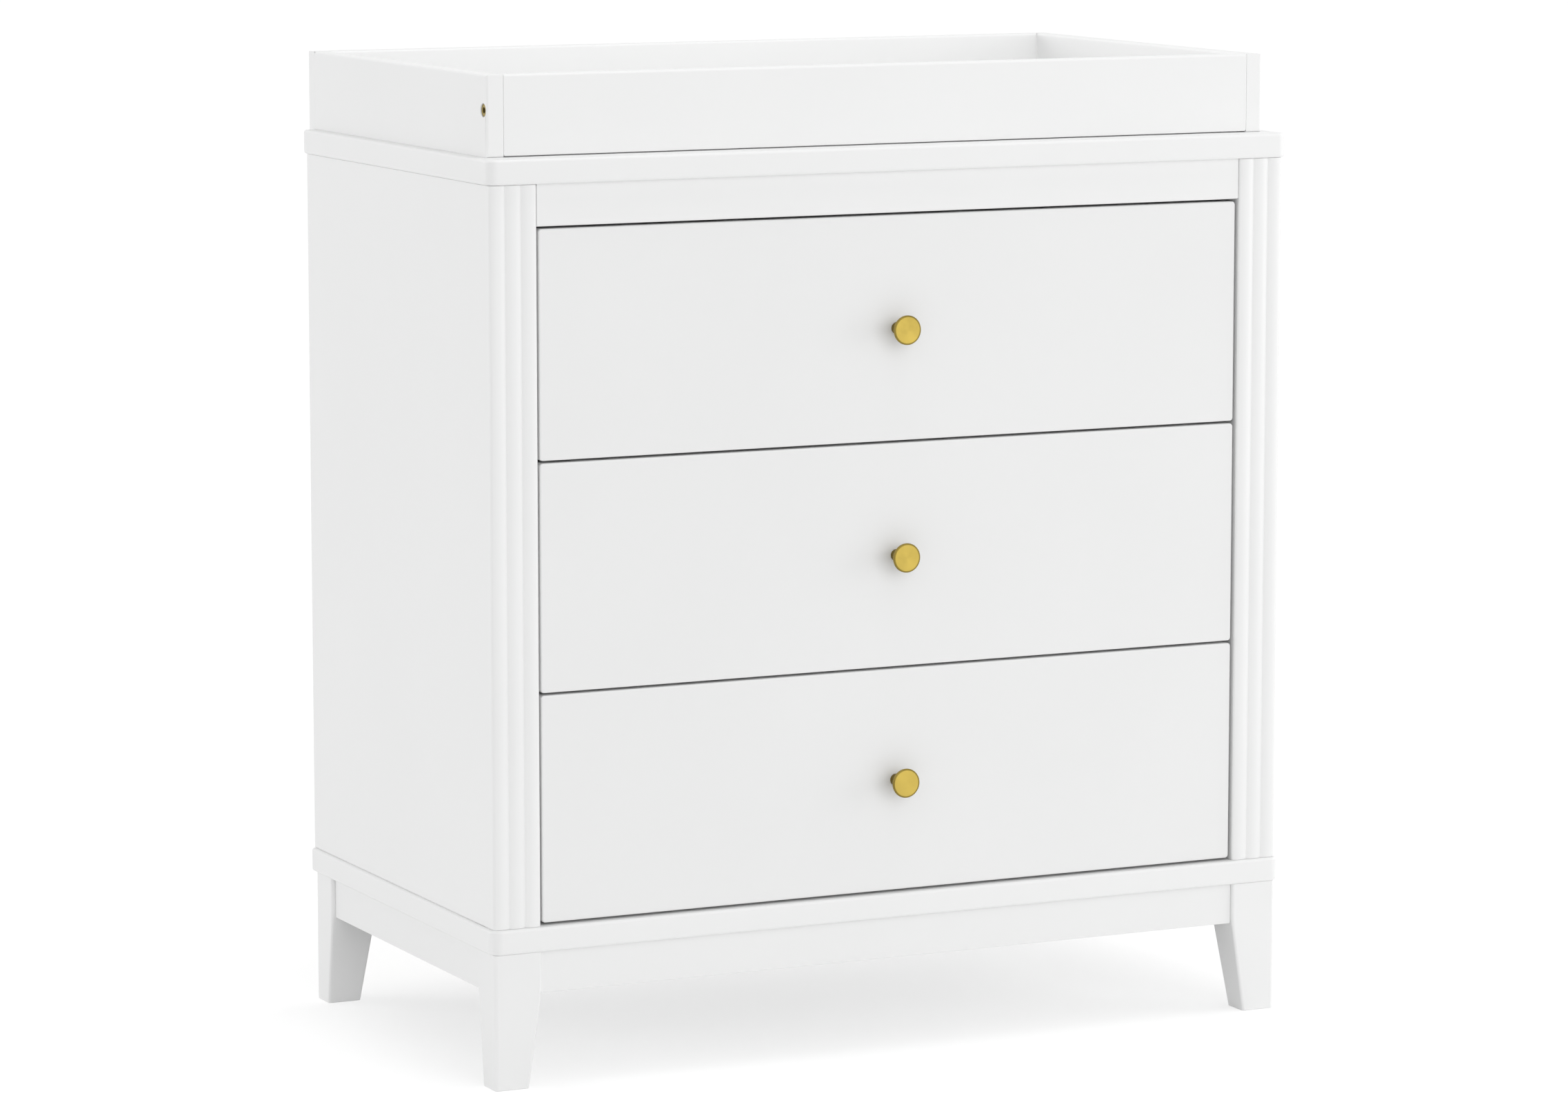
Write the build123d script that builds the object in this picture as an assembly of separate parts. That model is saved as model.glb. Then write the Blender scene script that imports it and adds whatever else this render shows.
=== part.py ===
from build123d import *

import os

# Changing table: a three-drawer dresser on tapered legs with a changing tray that lifts off.
# Millimetres. X runs to the right, the drawers face -Y and Z is up. The origin is on the floor
# under the middle of the top slab.

# Slabs and carcass
SLAB_WIDTH = 902.0
SLAB_DEPTH = 495.0
SLAB_THICK = 25.0
SLAB_CORNER_R = 12.0
SLAB_REAR_CORNER_R = 4.0
SLAB_EDGE_R = 3.0
CARCASS_HEIGHT = 739.0
SIDE_OVERHANG = 4.0
FRONT_OVERHANG = 4.0
BOARD = 18.0
TOP_RAIL_HEIGHT = 42.0
REAR_RAIL_HEIGHT = 60.0
BACK_PANEL = 4.0
REBATE_WIDTH = 12.0

# Beaded corner posts
PILASTER_WIDTH = 51.0
PILASTER_DEPTH = 24.0
BEADS = 3
BEAD_RISE = 2.5
PILASTER_OUTER_R = 4.0
PILASTER_INNER_R = 1.0

# Legs and aprons
LEG_HEIGHT = 138.0
LEG_TOP_X, LEG_TOP_Y = 51.0, 44.0
LEG_FOOT_X, LEG_FOOT_Y = 37.0, 32.0
LEG_INSET = 4.0
LEG_BEND_R = 150.0
LEG_ARRIS_R = 4.0
LEG_INNER_ARRIS_R = 3.0
LEG_FOOT_R = 1.0
APRON_HEIGHT = 43.0
APRON_SETBACK = 4.4
ARRIS_R = 1.5

# Corner brackets under the base
BRACKET_REACH = 56.0
BRACKET_TAB = 22.0
BRACKET_HEIGHT = 34.0
BRACKET_SHEET = 2.0
LEG_BOLT_D = 6.0
LEG_BOLT_IN_LEG = 26.0
LEG_NUT_ACROSS = 10.0
LEG_NUT_THICK = 5.0

# Drawers
DRAWER_NAMES = ("bottom", "middle", "top")
DRAWER_INSET = 5.5
DRAWER_GAP = 2.5
DRAWER_SIDE_GAP = 3.0
FRONT_CORNER_R = 3.5
FRONT_ARRIS_R = 2.0
BOX_BOARD = 12.0
BOX_HEIGHT = 165.0
BOX_LENGTH = 430.0
BOX_RAISE = 14.0
BOX_ARRIS_R = 2.0
BOTTOM_PANEL = 4.0
BOTTOM_RAISE = 10.0
GROOVE_DEPTH = 6.0
GROOVE_CLEAR = 0.2

# Knobs
KNOB_PROJECTION = 28.5
KNOB_HEAD_R = 15.0
KNOB_HEAD_THICK = 4.5
KNOB_STEM_R = 4.6
KNOB_FOOT_R = 5.2
KNOB_NECK_R = 4.0
KNOB_ARRIS_R = 0.8
KNOB_SCREW_D = 4.0
KNOB_SCREW_BITE = 11.0
KNOB_SCREW_HEAD_R = 4.5
KNOB_SCREW_HEAD = 2.6

# Roller runners: sheet profiles in the space between the drawer's side and its cleat
RUNNER_SPACE = 12.7
RUNNER_SHEET = 1.2
RUNNER_CLEAR = 2.5
CHANNEL_HEIGHT = 21.2
CHANNEL_FLOOR = 9.8
CHANNEL_LIP = 6.0
RUNNING_FLANGE_FROM = 6.6
RUNNING_FLANGE_Z = 21.0
DRAWER_WEB_HEIGHT = 31.0
DRAWER_RETURN = 7.5
DRAWER_RAIL_FRONT = 1.0
DRAWER_RAIL_SHORT = 2.0
TRACK_RAISE = 2.0
CLEAT_HEIGHT = 44.0
CLEAT_DROP = 11.0
TRAVEL = 320.0
STOP_TAB = 2.0
STOP_DROP = 6.0
STOP_CLEAR = 0.5

# Rollers and their riveted pins
ROLLER_R = 10.0
ROLLER_WIDTH = 4.4
ROLLER_BORE_R = 2.55
ROLLER_CLEAR = 0.2
ROLLER_CHAMFER = 0.6
ROLLER_FROM_END = 12.0
PIN_R = 2.5
PIN_COLLAR_R = 3.6
PIN_HEAD = 0.6
PIN_PLAY = 0.1
CABINET_ROLLER_FROM = 5.9
DRAWER_ROLLER_FROM = 3.0

# Wood screws
SCREW_R = 1.6
SCREW_HEAD_R = 3.6
SCREW_LENGTH = 15.0
RAIL_SCREW_HEAD = 0.8
RAIL_SCREW_PITCH = 143.0
PANEL_SCREW_HEAD = 2.0
PANEL_SCREW_EDGE = 6.0
PANEL_SCREW_ROWS = 5
PANEL_SCREW_COLUMNS = 4

# Changing tray
TRAY_HEIGHT = 81.0
TRAY_SIDE_INSET = 14.0
TRAY_FRONT_INSET = 33.0
TRAY_BACK_DROP = 25.0
TRAY_CLEAR = 0.5
TRAY_ARRIS_R = 2.5
TRAY_BOLT_RAISE = 46.0
TRAY_BOLT_REACH = 37.0
TRAY_BOLT_R = 3.0
TRAY_BOLT_HEAD_R = 6.5
TRAY_BOLT_HEAD = 4.0
TRAY_BOLT_SINK = 1.0
TRAY_BOLT_PAST_NUT = 1.0
TRAY_SOCKET_R = 3.0
TRAY_SOCKET_DEPTH = 3.0
TRAY_NUT_R = 5.0
TRAY_NUT_LENGTH = 12.0
TRAY_NUT_SINK = 1.5

# Levels and planes that follow from the sizes above
BASE_TOP = LEG_HEIGHT + SLAB_THICK
CARCASS_TOP = BASE_TOP + CARCASS_HEIGHT
TABLE_TOP = CARCASS_TOP + SLAB_THICK
SLAB_FRONT = -SLAB_DEPTH / 2
SLAB_BACK = SLAB_DEPTH / 2
BEAD_Y = SLAB_FRONT + FRONT_OVERHANG
GROOVE_Y = BEAD_Y + BEAD_RISE
FACE_Y = GROOVE_Y + DRAWER_INSET
PILASTER_BACK = BEAD_Y + PILASTER_DEPTH
CARCASS_HALF = SLAB_WIDTH / 2 - SIDE_OVERHANG
SIDE_INNER = CARCASS_HALF - BOARD
OPENING_HALF = CARCASS_HALF - PILASTER_WIDTH
PANEL_FRONT = SLAB_BACK - BACK_PANEL
LEG_X = SLAB_WIDTH / 2 - LEG_INSET
LEG_Y = SLAB_DEPTH / 2 - LEG_INSET
APRON_LOW = LEG_HEIGHT - APRON_HEIGHT
OPENING_HEIGHT = CARCASS_HEIGHT - TOP_RAIL_HEIGHT
FRONT_HEIGHT = (OPENING_HEIGHT - DRAWER_GAP) / len(DRAWER_NAMES) - DRAWER_GAP
FRONT_BACK = FACE_Y + BOARD
BOX_HALF = OPENING_HALF - RUNNER_SPACE
BOX_BACK = FRONT_BACK + BOX_LENGTH
CABINET_RAIL_Y = (FRONT_BACK + RUNNER_CLEAR, FRONT_BACK + RUNNER_CLEAR + BOX_LENGTH)
DRAWER_RAIL_Y = (FRONT_BACK + DRAWER_RAIL_FRONT, BOX_BACK - DRAWER_RAIL_SHORT)
CABINET_ROLLER_Y = CABINET_RAIL_Y[0] + ROLLER_FROM_END
DRAWER_ROLLER_Y = DRAWER_RAIL_Y[1] - ROLLER_FROM_END
CABINET_ROLLER_Z = RUNNING_FLANGE_Z - ROLLER_CLEAR - ROLLER_R
DRAWER_ROLLER_Z = ROLLER_CLEAR + ROLLER_R
TRAY_HALF = SLAB_WIDTH / 2 - TRAY_SIDE_INSET
TRAY_FRONT = SLAB_FRONT + TRAY_FRONT_INSET
TRAY_BACK_FACE = SLAB_BACK + TRAY_CLEAR
TRAY_TOP = TABLE_TOP + TRAY_HEIGHT
TRAY_BOLT_Z = TABLE_TOP + TRAY_BOLT_RAISE
SIDES = (-1, 1)


def block(x_span, y_span, z_span):
    """A square-edged board between two limits on each axis."""
    spans = [sorted(span) for span in (x_span, y_span, z_span)]
    centre = [(low + high) / 2 for low, high in spans]
    return Pos(*centre) * Box(*[high - low for low, high in spans])


def rod(start, direction, length, radius):
    """A round bar from a start point along a direction."""
    plane = Plane(origin=start, z_dir=direction)
    return extrude(plane * Circle(radius), amount=length)


def on_side(shape, side):
    """The shape as drawn for the right-hand side, or its mirror image for the left."""
    return shape if side > 0 else mirror(shape, about=Plane.YZ)


def both_sides(shape):
    """A right-hand shape together with its left-hand mirror image."""
    return Compound([solid for side in SIDES for solid in on_side(shape, side).solids()])


def drawer_low(index):
    """Bottom edge of a drawer front, counted from the lowest drawer."""
    return BASE_TOP + DRAWER_GAP + index * (FRONT_HEIGHT + DRAWER_GAP)


def track_level(index):
    """Top of the channel floor that a drawer's rear rollers run on."""
    return drawer_low(index) + BOX_RAISE + TRACK_RAISE


def rounded_corner(plan, place, radius):
    """A plan with the corner nearest to a place rounded off."""
    return fillet(plan.vertices().sort_by_distance(place)[0], radius)


def slab(low):
    """Top or base slab: corners rounder in front than behind, and rounded upper and lower arrises."""
    plan = Rectangle(SLAB_WIDTH, SLAB_DEPTH)
    for side in SIDES:
        plan = rounded_corner(plan, (side * SLAB_WIDTH / 2, SLAB_FRONT), SLAB_CORNER_R)
        plan = rounded_corner(plan, (side * SLAB_WIDTH / 2, SLAB_BACK), SLAB_REAR_CORNER_R)
    board = extrude(plan, amount=SLAB_THICK, dir=(0, 0, 1))
    faces = board.faces().sort_by(Axis.Z)
    board = fillet(faces[0].edges() + faces[-1].edges(), SLAB_EDGE_R)
    return Pos(0, 0, low) * board


def pilaster():
    """Right-hand corner post: equal beads between a rounded outer corner and an eased inner one."""
    bead = PILASTER_WIDTH / BEADS
    starts = [OPENING_HALF + i * bead for i in range(BEADS)]
    arcs = [ThreePointArc((x, GROOVE_Y), (x + bead / 2, BEAD_Y), (x + bead, GROOVE_Y)) for x in starts]
    outer_corner = (CARCASS_HALF, GROOVE_Y)
    inner_corner = (OPENING_HALF, GROOVE_Y)
    rest = Polyline(
        outer_corner, (CARCASS_HALF, PILASTER_BACK), (OPENING_HALF, PILASTER_BACK), inner_corner
    )
    plan = make_face([*arcs, *rest.edges()])
    plan = rounded_corner(plan, outer_corner, PILASTER_OUTER_R)
    plan = rounded_corner(plan, inner_corner, PILASTER_INNER_R)
    return Pos(0, 0, BASE_TOP) * extrude(plan, amount=CARCASS_HEIGHT, dir=(0, 0, 1))


def side_panel():
    """Right-hand side behind its post, rebated at the back for the back panel."""
    levels = (BASE_TOP, CARCASS_TOP)
    panel = block((SIDE_INNER, CARCASS_HALF), (PILASTER_BACK, SLAB_BACK), levels)
    rebate = block((SIDE_INNER, SIDE_INNER + REBATE_WIDTH), (PANEL_FRONT, SLAB_BACK), levels)
    return panel - rebate


def front_top_rail():
    """Rail over the top drawer, flush with the drawer fronts, with an eased lower arris."""
    levels = (CARCASS_TOP - TOP_RAIL_HEIGHT, CARCASS_TOP)
    rail = block((-OPENING_HALF, OPENING_HALF), (FACE_Y, FRONT_BACK), levels)
    lower_front = rail.edges().filter_by(Axis.X).sort_by(Axis.Z)[:2].sort_by(Axis.Y)[0]
    return fillet(lower_front, FRONT_ARRIS_R)


def panel_screws():
    """Screws round the back panel: into both sides and into the rear top rail."""
    places = []
    margin = CARCASS_HEIGHT / (2 * PANEL_SCREW_ROWS)
    for row in range(PANEL_SCREW_ROWS):
        level = BASE_TOP + margin * (2 * row + 1)
        places += [(side * (SIDE_INNER + PANEL_SCREW_EDGE), level) for side in SIDES]
    for column in range(PANEL_SCREW_COLUMNS):
        x = SIDE_INNER * ((2 * column + 1) / PANEL_SCREW_COLUMNS - 1)
        places.append((x, CARCASS_TOP - REAR_RAIL_HEIGHT / 2))
    return [wood_screw((x, SLAB_BACK, z), (0, 1, 0), PANEL_SCREW_HEAD) for x, z in places]


def wood_screw(seat, outward, head):
    """Screw whose head sits on a surface point; its shank runs the other way."""
    inward = [-value for value in outward]
    return rod(seat, outward, head, SCREW_HEAD_R) + rod(seat, inward, SCREW_LENGTH, SCREW_R)


def leg_profile(top, foot):
    """Side view of a leg in X and Z: upright outside, tapered inside with a soft bend."""
    corners = [(0, 0), (foot, 0), (top, APRON_LOW), (top, LEG_HEIGHT), (0, LEG_HEIGHT)]
    face = make_face(Polyline(*corners, close=True).edges())
    bend = [v for v in face.vertices() if abs(v.X - top) < 0.1 and abs(v.Y - APRON_LOW) < 0.1]
    return fillet(bend, LEG_BEND_R)


def leg():
    """Front-left leg: where two tapered profiles meet, with every upright arris and the foot rounded."""
    wide = extrude(Plane.XZ * leg_profile(LEG_TOP_X, LEG_FOOT_X), amount=-LEG_TOP_Y)
    deep = extrude(Plane.YZ * leg_profile(LEG_TOP_Y, LEG_FOOT_Y), amount=LEG_TOP_X)
    post = wide & deep

    def outer_arris():
        return post.edges().filter_by(Axis.Z).sort_by_distance((0, 0, LEG_HEIGHT / 2))[0]

    uprights = [edge for edge in post.edges() if abs((edge @ 1).Z - (edge @ 0).Z) > LEG_FOOT_R]
    post = fillet([edge for edge in uprights if edge != outer_arris()], LEG_INNER_ARRIS_R)
    post = fillet(outer_arris(), LEG_ARRIS_R)
    post = fillet(post.faces().sort_by(Axis.Z)[0].edges(), LEG_FOOT_R)
    return Pos(-LEG_X, -LEG_Y, 0) * post


def at_corner(shape, side_x, side_y):
    """A front-left shape, mirrored to the chosen corner of the base."""
    if side_x > 0:
        shape = mirror(shape, about=Plane.YZ)
    if side_y > 0:
        shape = mirror(shape, about=Plane.XZ)
    return shape


def apron(x_span, y_span):
    """Board under the base slab, with its lower arrises eased."""
    board = block(x_span, y_span, (APRON_LOW, LEG_HEIGHT))
    return fillet(board.faces().sort_by(Axis.Z)[0].edges().sort_by(SortBy.LENGTH)[-2:], ARRIS_R)


def corner_bracket():
    """Bent plate across the front-left corner, screwed flat to both aprons."""
    apron_x = -LEG_X + APRON_SETBACK + BOARD + BRACKET_SHEET / 2
    apron_y = -LEG_Y + APRON_SETBACK + BOARD + BRACKET_SHEET / 2
    reach_x = -LEG_X + LEG_TOP_X + BRACKET_REACH
    reach_y = apron_y + (reach_x - apron_x)
    line = Polyline(
        (reach_x + BRACKET_TAB, apron_y),
        (reach_x, apron_y),
        (apron_x, reach_y),
        (apron_x, reach_y + BRACKET_TAB),
    )
    plate = extrude(trace(line, BRACKET_SHEET), amount=BRACKET_HEIGHT, dir=(0, 0, 1))
    level = APRON_LOW + (APRON_HEIGHT - BRACKET_HEIGHT) / 2
    return Pos(0, 0, level) * plate, Vector((reach_x + apron_x) / 2, (apron_y + reach_y) / 2)


def leg_bolt(plate_middle):
    """Hanger bolt from the leg's inner arris through the bracket, with its nut."""
    level = APRON_LOW + APRON_HEIGHT / 2
    out = Vector(1, 1, 0).normalized()
    start = Vector(plate_middle.X, plate_middle.Y, level)
    leg_arris = Vector(-LEG_X + LEG_TOP_X, -LEG_Y + LEG_TOP_Y, level)
    depth = (start - leg_arris).dot(out) + LEG_BOLT_IN_LEG
    tail = BRACKET_SHEET / 2 + 2 * LEG_NUT_THICK
    bolt = rod(start - out * depth, out, depth + tail, LEG_BOLT_D / 2)
    seat = Plane(origin=start + out * (BRACKET_SHEET / 2), z_dir=out)
    hexagon = RegularPolygon(LEG_NUT_ACROSS / 2, 6, major_radius=False)
    return bolt + extrude(seat * hexagon, amount=LEG_NUT_THICK)


def base_frame():
    """Legs, aprons and the brackets and bolts that hold them together."""
    bracket, middle = corner_bracket()
    bolt = leg_bolt(middle)
    bored_leg = leg() - bolt
    bored_bracket = bracket - bolt
    corners = {
        "front_left": (-1, -1), "front_right": (1, -1), "rear_left": (-1, 1), "rear_right": (1, 1)
    }
    nodes = {f"{name}_leg": at_corner(bored_leg, *signs) for name, signs in corners.items()}
    nodes["leg_corner_brackets"] = Compound([at_corner(bored_bracket, *s) for s in corners.values()])
    nodes["leg_bolts"] = Compound([at_corner(bolt, *s) for s in corners.values()])
    between_x = LEG_X - LEG_TOP_X
    between_y = LEG_Y - LEG_TOP_Y
    for name, side in zip(("front", "rear"), SIDES):
        outer = LEG_Y - APRON_SETBACK
        nodes[f"{name}_apron"] = apron((-between_x, between_x), (side * outer, side * (outer - BOARD)))
    for name, side in zip(("left", "right"), SIDES):
        outer = LEG_X - APRON_SETBACK
        nodes[f"{name}_apron"] = apron((side * outer, side * (outer - BOARD)), (-between_y, between_y))
    return nodes


def in_runner(span, y_span, z_span):
    """Right-hand strip of runner sheet, measured from the cleat's face towards the drawer."""
    return block([OPENING_HALF - depth for depth in span], y_span, z_span)


def roller_pin(root, collar_end, tip, y, z):
    """Riveted pin on a rail: a collar, a journal for the roller and a head."""
    step = 1 if tip > root else -1
    direction = (-step, 0, 0)

    def bar(start, end, radius):
        return rod((OPENING_HALF - start, y, z), direction, abs(end - start), radius)

    journal_end = tip - step * PIN_HEAD
    collar = bar(root, collar_end, PIN_COLLAR_R)
    journal = bar(collar_end, journal_end, PIN_R)
    return collar + journal + bar(journal_end, tip, PIN_COLLAR_R)


def cabinet_rail(level):
    """Right-hand fixed rail: a channel for the rear roller, a stop tab and the front roller's pin."""
    bottom = level - RUNNER_SHEET
    ceiling = level + CHANNEL_HEIGHT
    web = in_runner((0, RUNNER_SHEET), CABINET_RAIL_Y, (bottom, ceiling + RUNNER_SHEET))
    floor = in_runner((0, CHANNEL_FLOOR), CABINET_RAIL_Y, (bottom, level))
    roof = in_runner((0, CHANNEL_LIP), CABINET_RAIL_Y, (ceiling, ceiling + RUNNER_SHEET))
    stop_back = DRAWER_ROLLER_Y - TRAVEL - ROLLER_R - STOP_CLEAR
    stop_y = (stop_back - STOP_TAB, stop_back)
    stop = in_runner((0, CHANNEL_LIP), stop_y, (ceiling - STOP_DROP, ceiling))
    collar_end = CABINET_ROLLER_FROM - PIN_PLAY
    tip = CABINET_ROLLER_FROM + ROLLER_WIDTH + PIN_PLAY + PIN_HEAD
    pin = roller_pin(RUNNER_SHEET, collar_end, tip, CABINET_ROLLER_Y, level + CABINET_ROLLER_Z)
    return web + floor + roof + stop + pin


def drawer_rail(level):
    """Right-hand moving rail: it wraps the drawer side's lower edge and rides on the front roller."""
    box_low = level - TRACK_RAISE
    bottom = box_low - RUNNER_SHEET
    web_s = (RUNNER_SPACE - RUNNER_SHEET, RUNNER_SPACE)
    web = in_runner(web_s, DRAWER_RAIL_Y, (bottom, bottom + DRAWER_WEB_HEIGHT))
    wrap = in_runner((web_s[0], RUNNER_SPACE + DRAWER_RETURN), DRAWER_RAIL_Y, (bottom, box_low))
    flange_z = (level + RUNNING_FLANGE_Z, level + RUNNING_FLANGE_Z + RUNNER_SHEET)
    flange = in_runner((RUNNING_FLANGE_FROM, web_s[0]), DRAWER_RAIL_Y, flange_z)
    collar_end = DRAWER_ROLLER_FROM + ROLLER_WIDTH + PIN_PLAY
    tip = DRAWER_ROLLER_FROM - PIN_PLAY - PIN_HEAD
    pin = roller_pin(web_s[0], collar_end, tip, DRAWER_ROLLER_Y, level + DRAWER_ROLLER_Z)
    return web + wrap + flange + pin


def roller(start, y, z):
    """Right-hand nylon wheel with chamfered rims and a running bore."""
    wheel = rod((OPENING_HALF - start, y, z), (-1, 0, 0), ROLLER_WIDTH, ROLLER_R)
    wheel = chamfer(wheel.edges().filter_by(GeomType.CIRCLE), ROLLER_CHAMFER)
    bore = rod((OPENING_HALF - start, y, z), (-1, 0, 0), ROLLER_WIDTH, ROLLER_BORE_R)
    return wheel - bore


def rail_screws(level):
    """Right-hand screws that hold one fixed rail to its cleat."""
    middle = sum(CABINET_RAIL_Y) / 2
    x = OPENING_HALF - RUNNER_SHEET
    z = level + DRAWER_ROLLER_Z
    seats = [(x, middle + step * RAIL_SCREW_PITCH, z) for step in (-1, 0, 1)]
    return [wood_screw(seat, (-1, 0, 0), RAIL_SCREW_HEAD) for seat in seats]


def runner_fixings():
    """Fixed rails, the cleats that carry them and their screws, on both sides."""
    rails, cleats, screws = [], [], []
    for index in range(len(DRAWER_NAMES)):
        level = track_level(index)
        fixings = rail_screws(level)
        cleat_z = (level - CLEAT_DROP, level - CLEAT_DROP + CLEAT_HEIGHT)
        cleat = block((OPENING_HALF, SIDE_INNER), (PILASTER_BACK, PANEL_FRONT), cleat_z)
        cleats.append(cleat - fixings)
        rails.append(cabinet_rail(level) - fixings)
        screws += fixings
    return {
        "left_runner_cleats": Compound([on_side(cleat, -1) for cleat in cleats]),
        "right_runner_cleats": Compound(cleats),
        "cabinet_rails": both_sides(Compound(rails)),
        "rail_screws": both_sides(Compound(screws)),
    }


def carcass():
    """Slabs, sides, posts, rails and back."""
    screws = panel_screws()
    levels = (BASE_TOP, CARCASS_TOP)
    rear_y = (PANEL_FRONT - BOARD, PANEL_FRONT)
    rear_z = (CARCASS_TOP - REAR_RAIL_HEIGHT, CARCASS_TOP)
    back_half = SIDE_INNER + REBATE_WIDTH
    nodes = {
        "top_panel": slab(CARCASS_TOP),
        "base_panel": slab(LEG_HEIGHT),
        "front_top_rail": front_top_rail(),
        "rear_top_rail": block((-SIDE_INNER, SIDE_INNER), rear_y, rear_z) - screws,
        "back_panel": block((-back_half, back_half), (PANEL_FRONT, SLAB_BACK), levels) - screws,
        "back_panel_screws": Compound(screws),
    }
    for name, side in zip(("left", "right"), SIDES):
        nodes[f"{name}_pilaster"] = on_side(pilaster(), side)
        nodes[f"{name}_side_panel"] = on_side(side_panel(), side) - screws
    return nodes | base_frame() | runner_fixings()


def knob(level):
    """Turned knob: a foot, a slim stem that flares into a flat round head, bored for its screw."""
    face = FACE_Y - KNOB_PROJECTION
    head_back = face + KNOB_HEAD_THICK
    rim = KNOB_HEAD_R - KNOB_ARRIS_R
    flare_start = (KNOB_STEM_R, head_back + KNOB_NECK_R)
    flare_end = (KNOB_STEM_R + KNOB_NECK_R, head_back)
    stem = Polyline(
        (0, FACE_Y), (KNOB_FOOT_R, FACE_Y), (KNOB_STEM_R, FACE_Y - KNOB_NECK_R), flare_start
    )
    flare = TangentArc(flare_start, flare_end, tangent=(0, -1))
    head = Polyline(
        flare_end,
        (rim, head_back),
        (KNOB_HEAD_R, head_back - KNOB_ARRIS_R),
        (KNOB_HEAD_R, face + KNOB_ARRIS_R),
        (rim, face),
        (0, face),
        (0, FACE_Y),
    )
    turned = revolve(make_face([*stem.edges(), flare, *head.edges()]), axis=Axis.Y)
    return Pos(0, 0, level) * turned


def knob_screw(level):
    """Machine screw through the drawer front into the knob's stem."""
    shank = rod((0, FRONT_BACK, level), (0, -1, 0), BOARD + KNOB_SCREW_BITE, KNOB_SCREW_D / 2)
    head = rod((0, FRONT_BACK, level), (0, 1, 0), KNOB_SCREW_HEAD, KNOB_SCREW_HEAD_R)
    return shank + head


def drawer_front(low, groove):
    """Inset front with small round corners, an eased face and a groove for the bottom."""
    width = 2 * (OPENING_HALF - DRAWER_SIDE_GAP)
    plan = Plane(origin=(0, FRONT_BACK, low + FRONT_HEIGHT / 2), x_dir=(1, 0, 0), z_dir=(0, -1, 0))
    board = extrude(plan * RectangleRounded(width, FRONT_HEIGHT, FRONT_CORNER_R), amount=BOARD)
    board = fillet(board.faces().sort_by(Axis.Y)[0].edges(), FRONT_ARRIS_R)
    return board - groove


def drawer(name, index):
    """One drawer: front, box, knob, moving rails and the rollers of both rails."""
    low = drawer_low(index)
    box_low = low + BOX_RAISE
    box_z = (box_low, box_low + BOX_HEIGHT)
    box_y = (FRONT_BACK, BOX_BACK)
    inner = BOX_HALF - BOX_BOARD
    panel_z = (box_low + BOTTOM_RAISE, box_low + BOTTOM_RAISE + BOTTOM_PANEL)
    panel_half = inner + GROOVE_DEPTH - GROOVE_CLEAR
    panel_front = FRONT_BACK - GROOVE_DEPTH + GROOVE_CLEAR
    groove_half = inner + GROOVE_DEPTH
    groove = block(
        (-groove_half, groove_half),
        (FRONT_BACK - GROOVE_DEPTH, BOX_BACK),
        (panel_z[0], panel_z[1] + GROOVE_CLEAR),
    )
    side = block((inner, BOX_HALF), box_y, box_z)
    side = fillet(side.edges().filter_by(Axis.Y).sort_by(Axis.Z)[-2:], BOX_ARRIS_R)
    back = block((-inner, inner), (BOX_BACK - BOX_BOARD, BOX_BACK), (panel_z[1], box_z[1]))
    middle = low + FRONT_HEIGHT / 2
    level = track_level(index)
    screw = knob_screw(middle)
    drawer_wheel = roller(DRAWER_ROLLER_FROM, DRAWER_ROLLER_Y, level + DRAWER_ROLLER_Z)
    cabinet_wheel = roller(CABINET_ROLLER_FROM, CABINET_ROLLER_Y, level + CABINET_ROLLER_Z)
    return {
        f"{name}_drawer_front": drawer_front(low, groove) - screw,
        f"{name}_drawer_left_side": on_side(side, -1) - groove,
        f"{name}_drawer_right_side": side - groove,
        f"{name}_drawer_back": back,
        f"{name}_drawer_bottom": block((-panel_half, panel_half), (panel_front, BOX_BACK), panel_z),
        f"{name}_drawer_knob": knob(middle) - screw,
        f"{name}_drawer_knob_screw": screw,
        f"{name}_drawer_rails": both_sides(drawer_rail(level)),
        f"{name}_drawer_rollers": both_sides(drawer_wheel),
        f"{name}_cabinet_rollers": both_sides(cabinet_wheel),
    }


def tray_bolt(seat, inward):
    """Furniture bolt: a flush head with a hexagon socket and a shank to its barrel nut."""
    head_top = Vector(*seat) + Vector(*inward) * TRAY_BOLT_SINK
    head = rod(head_top, inward, TRAY_BOLT_HEAD, TRAY_BOLT_HEAD_R)
    plane = Plane(origin=head_top, z_dir=inward)
    socket = extrude(plane * RegularPolygon(TRAY_SOCKET_R, 6), amount=TRAY_SOCKET_DEPTH)
    reach = BOARD + TRAY_BOLT_REACH + TRAY_NUT_R + TRAY_BOLT_PAST_NUT - TRAY_BOLT_SINK
    return head + rod(head_top, inward, reach, TRAY_BOLT_R) - socket


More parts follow.
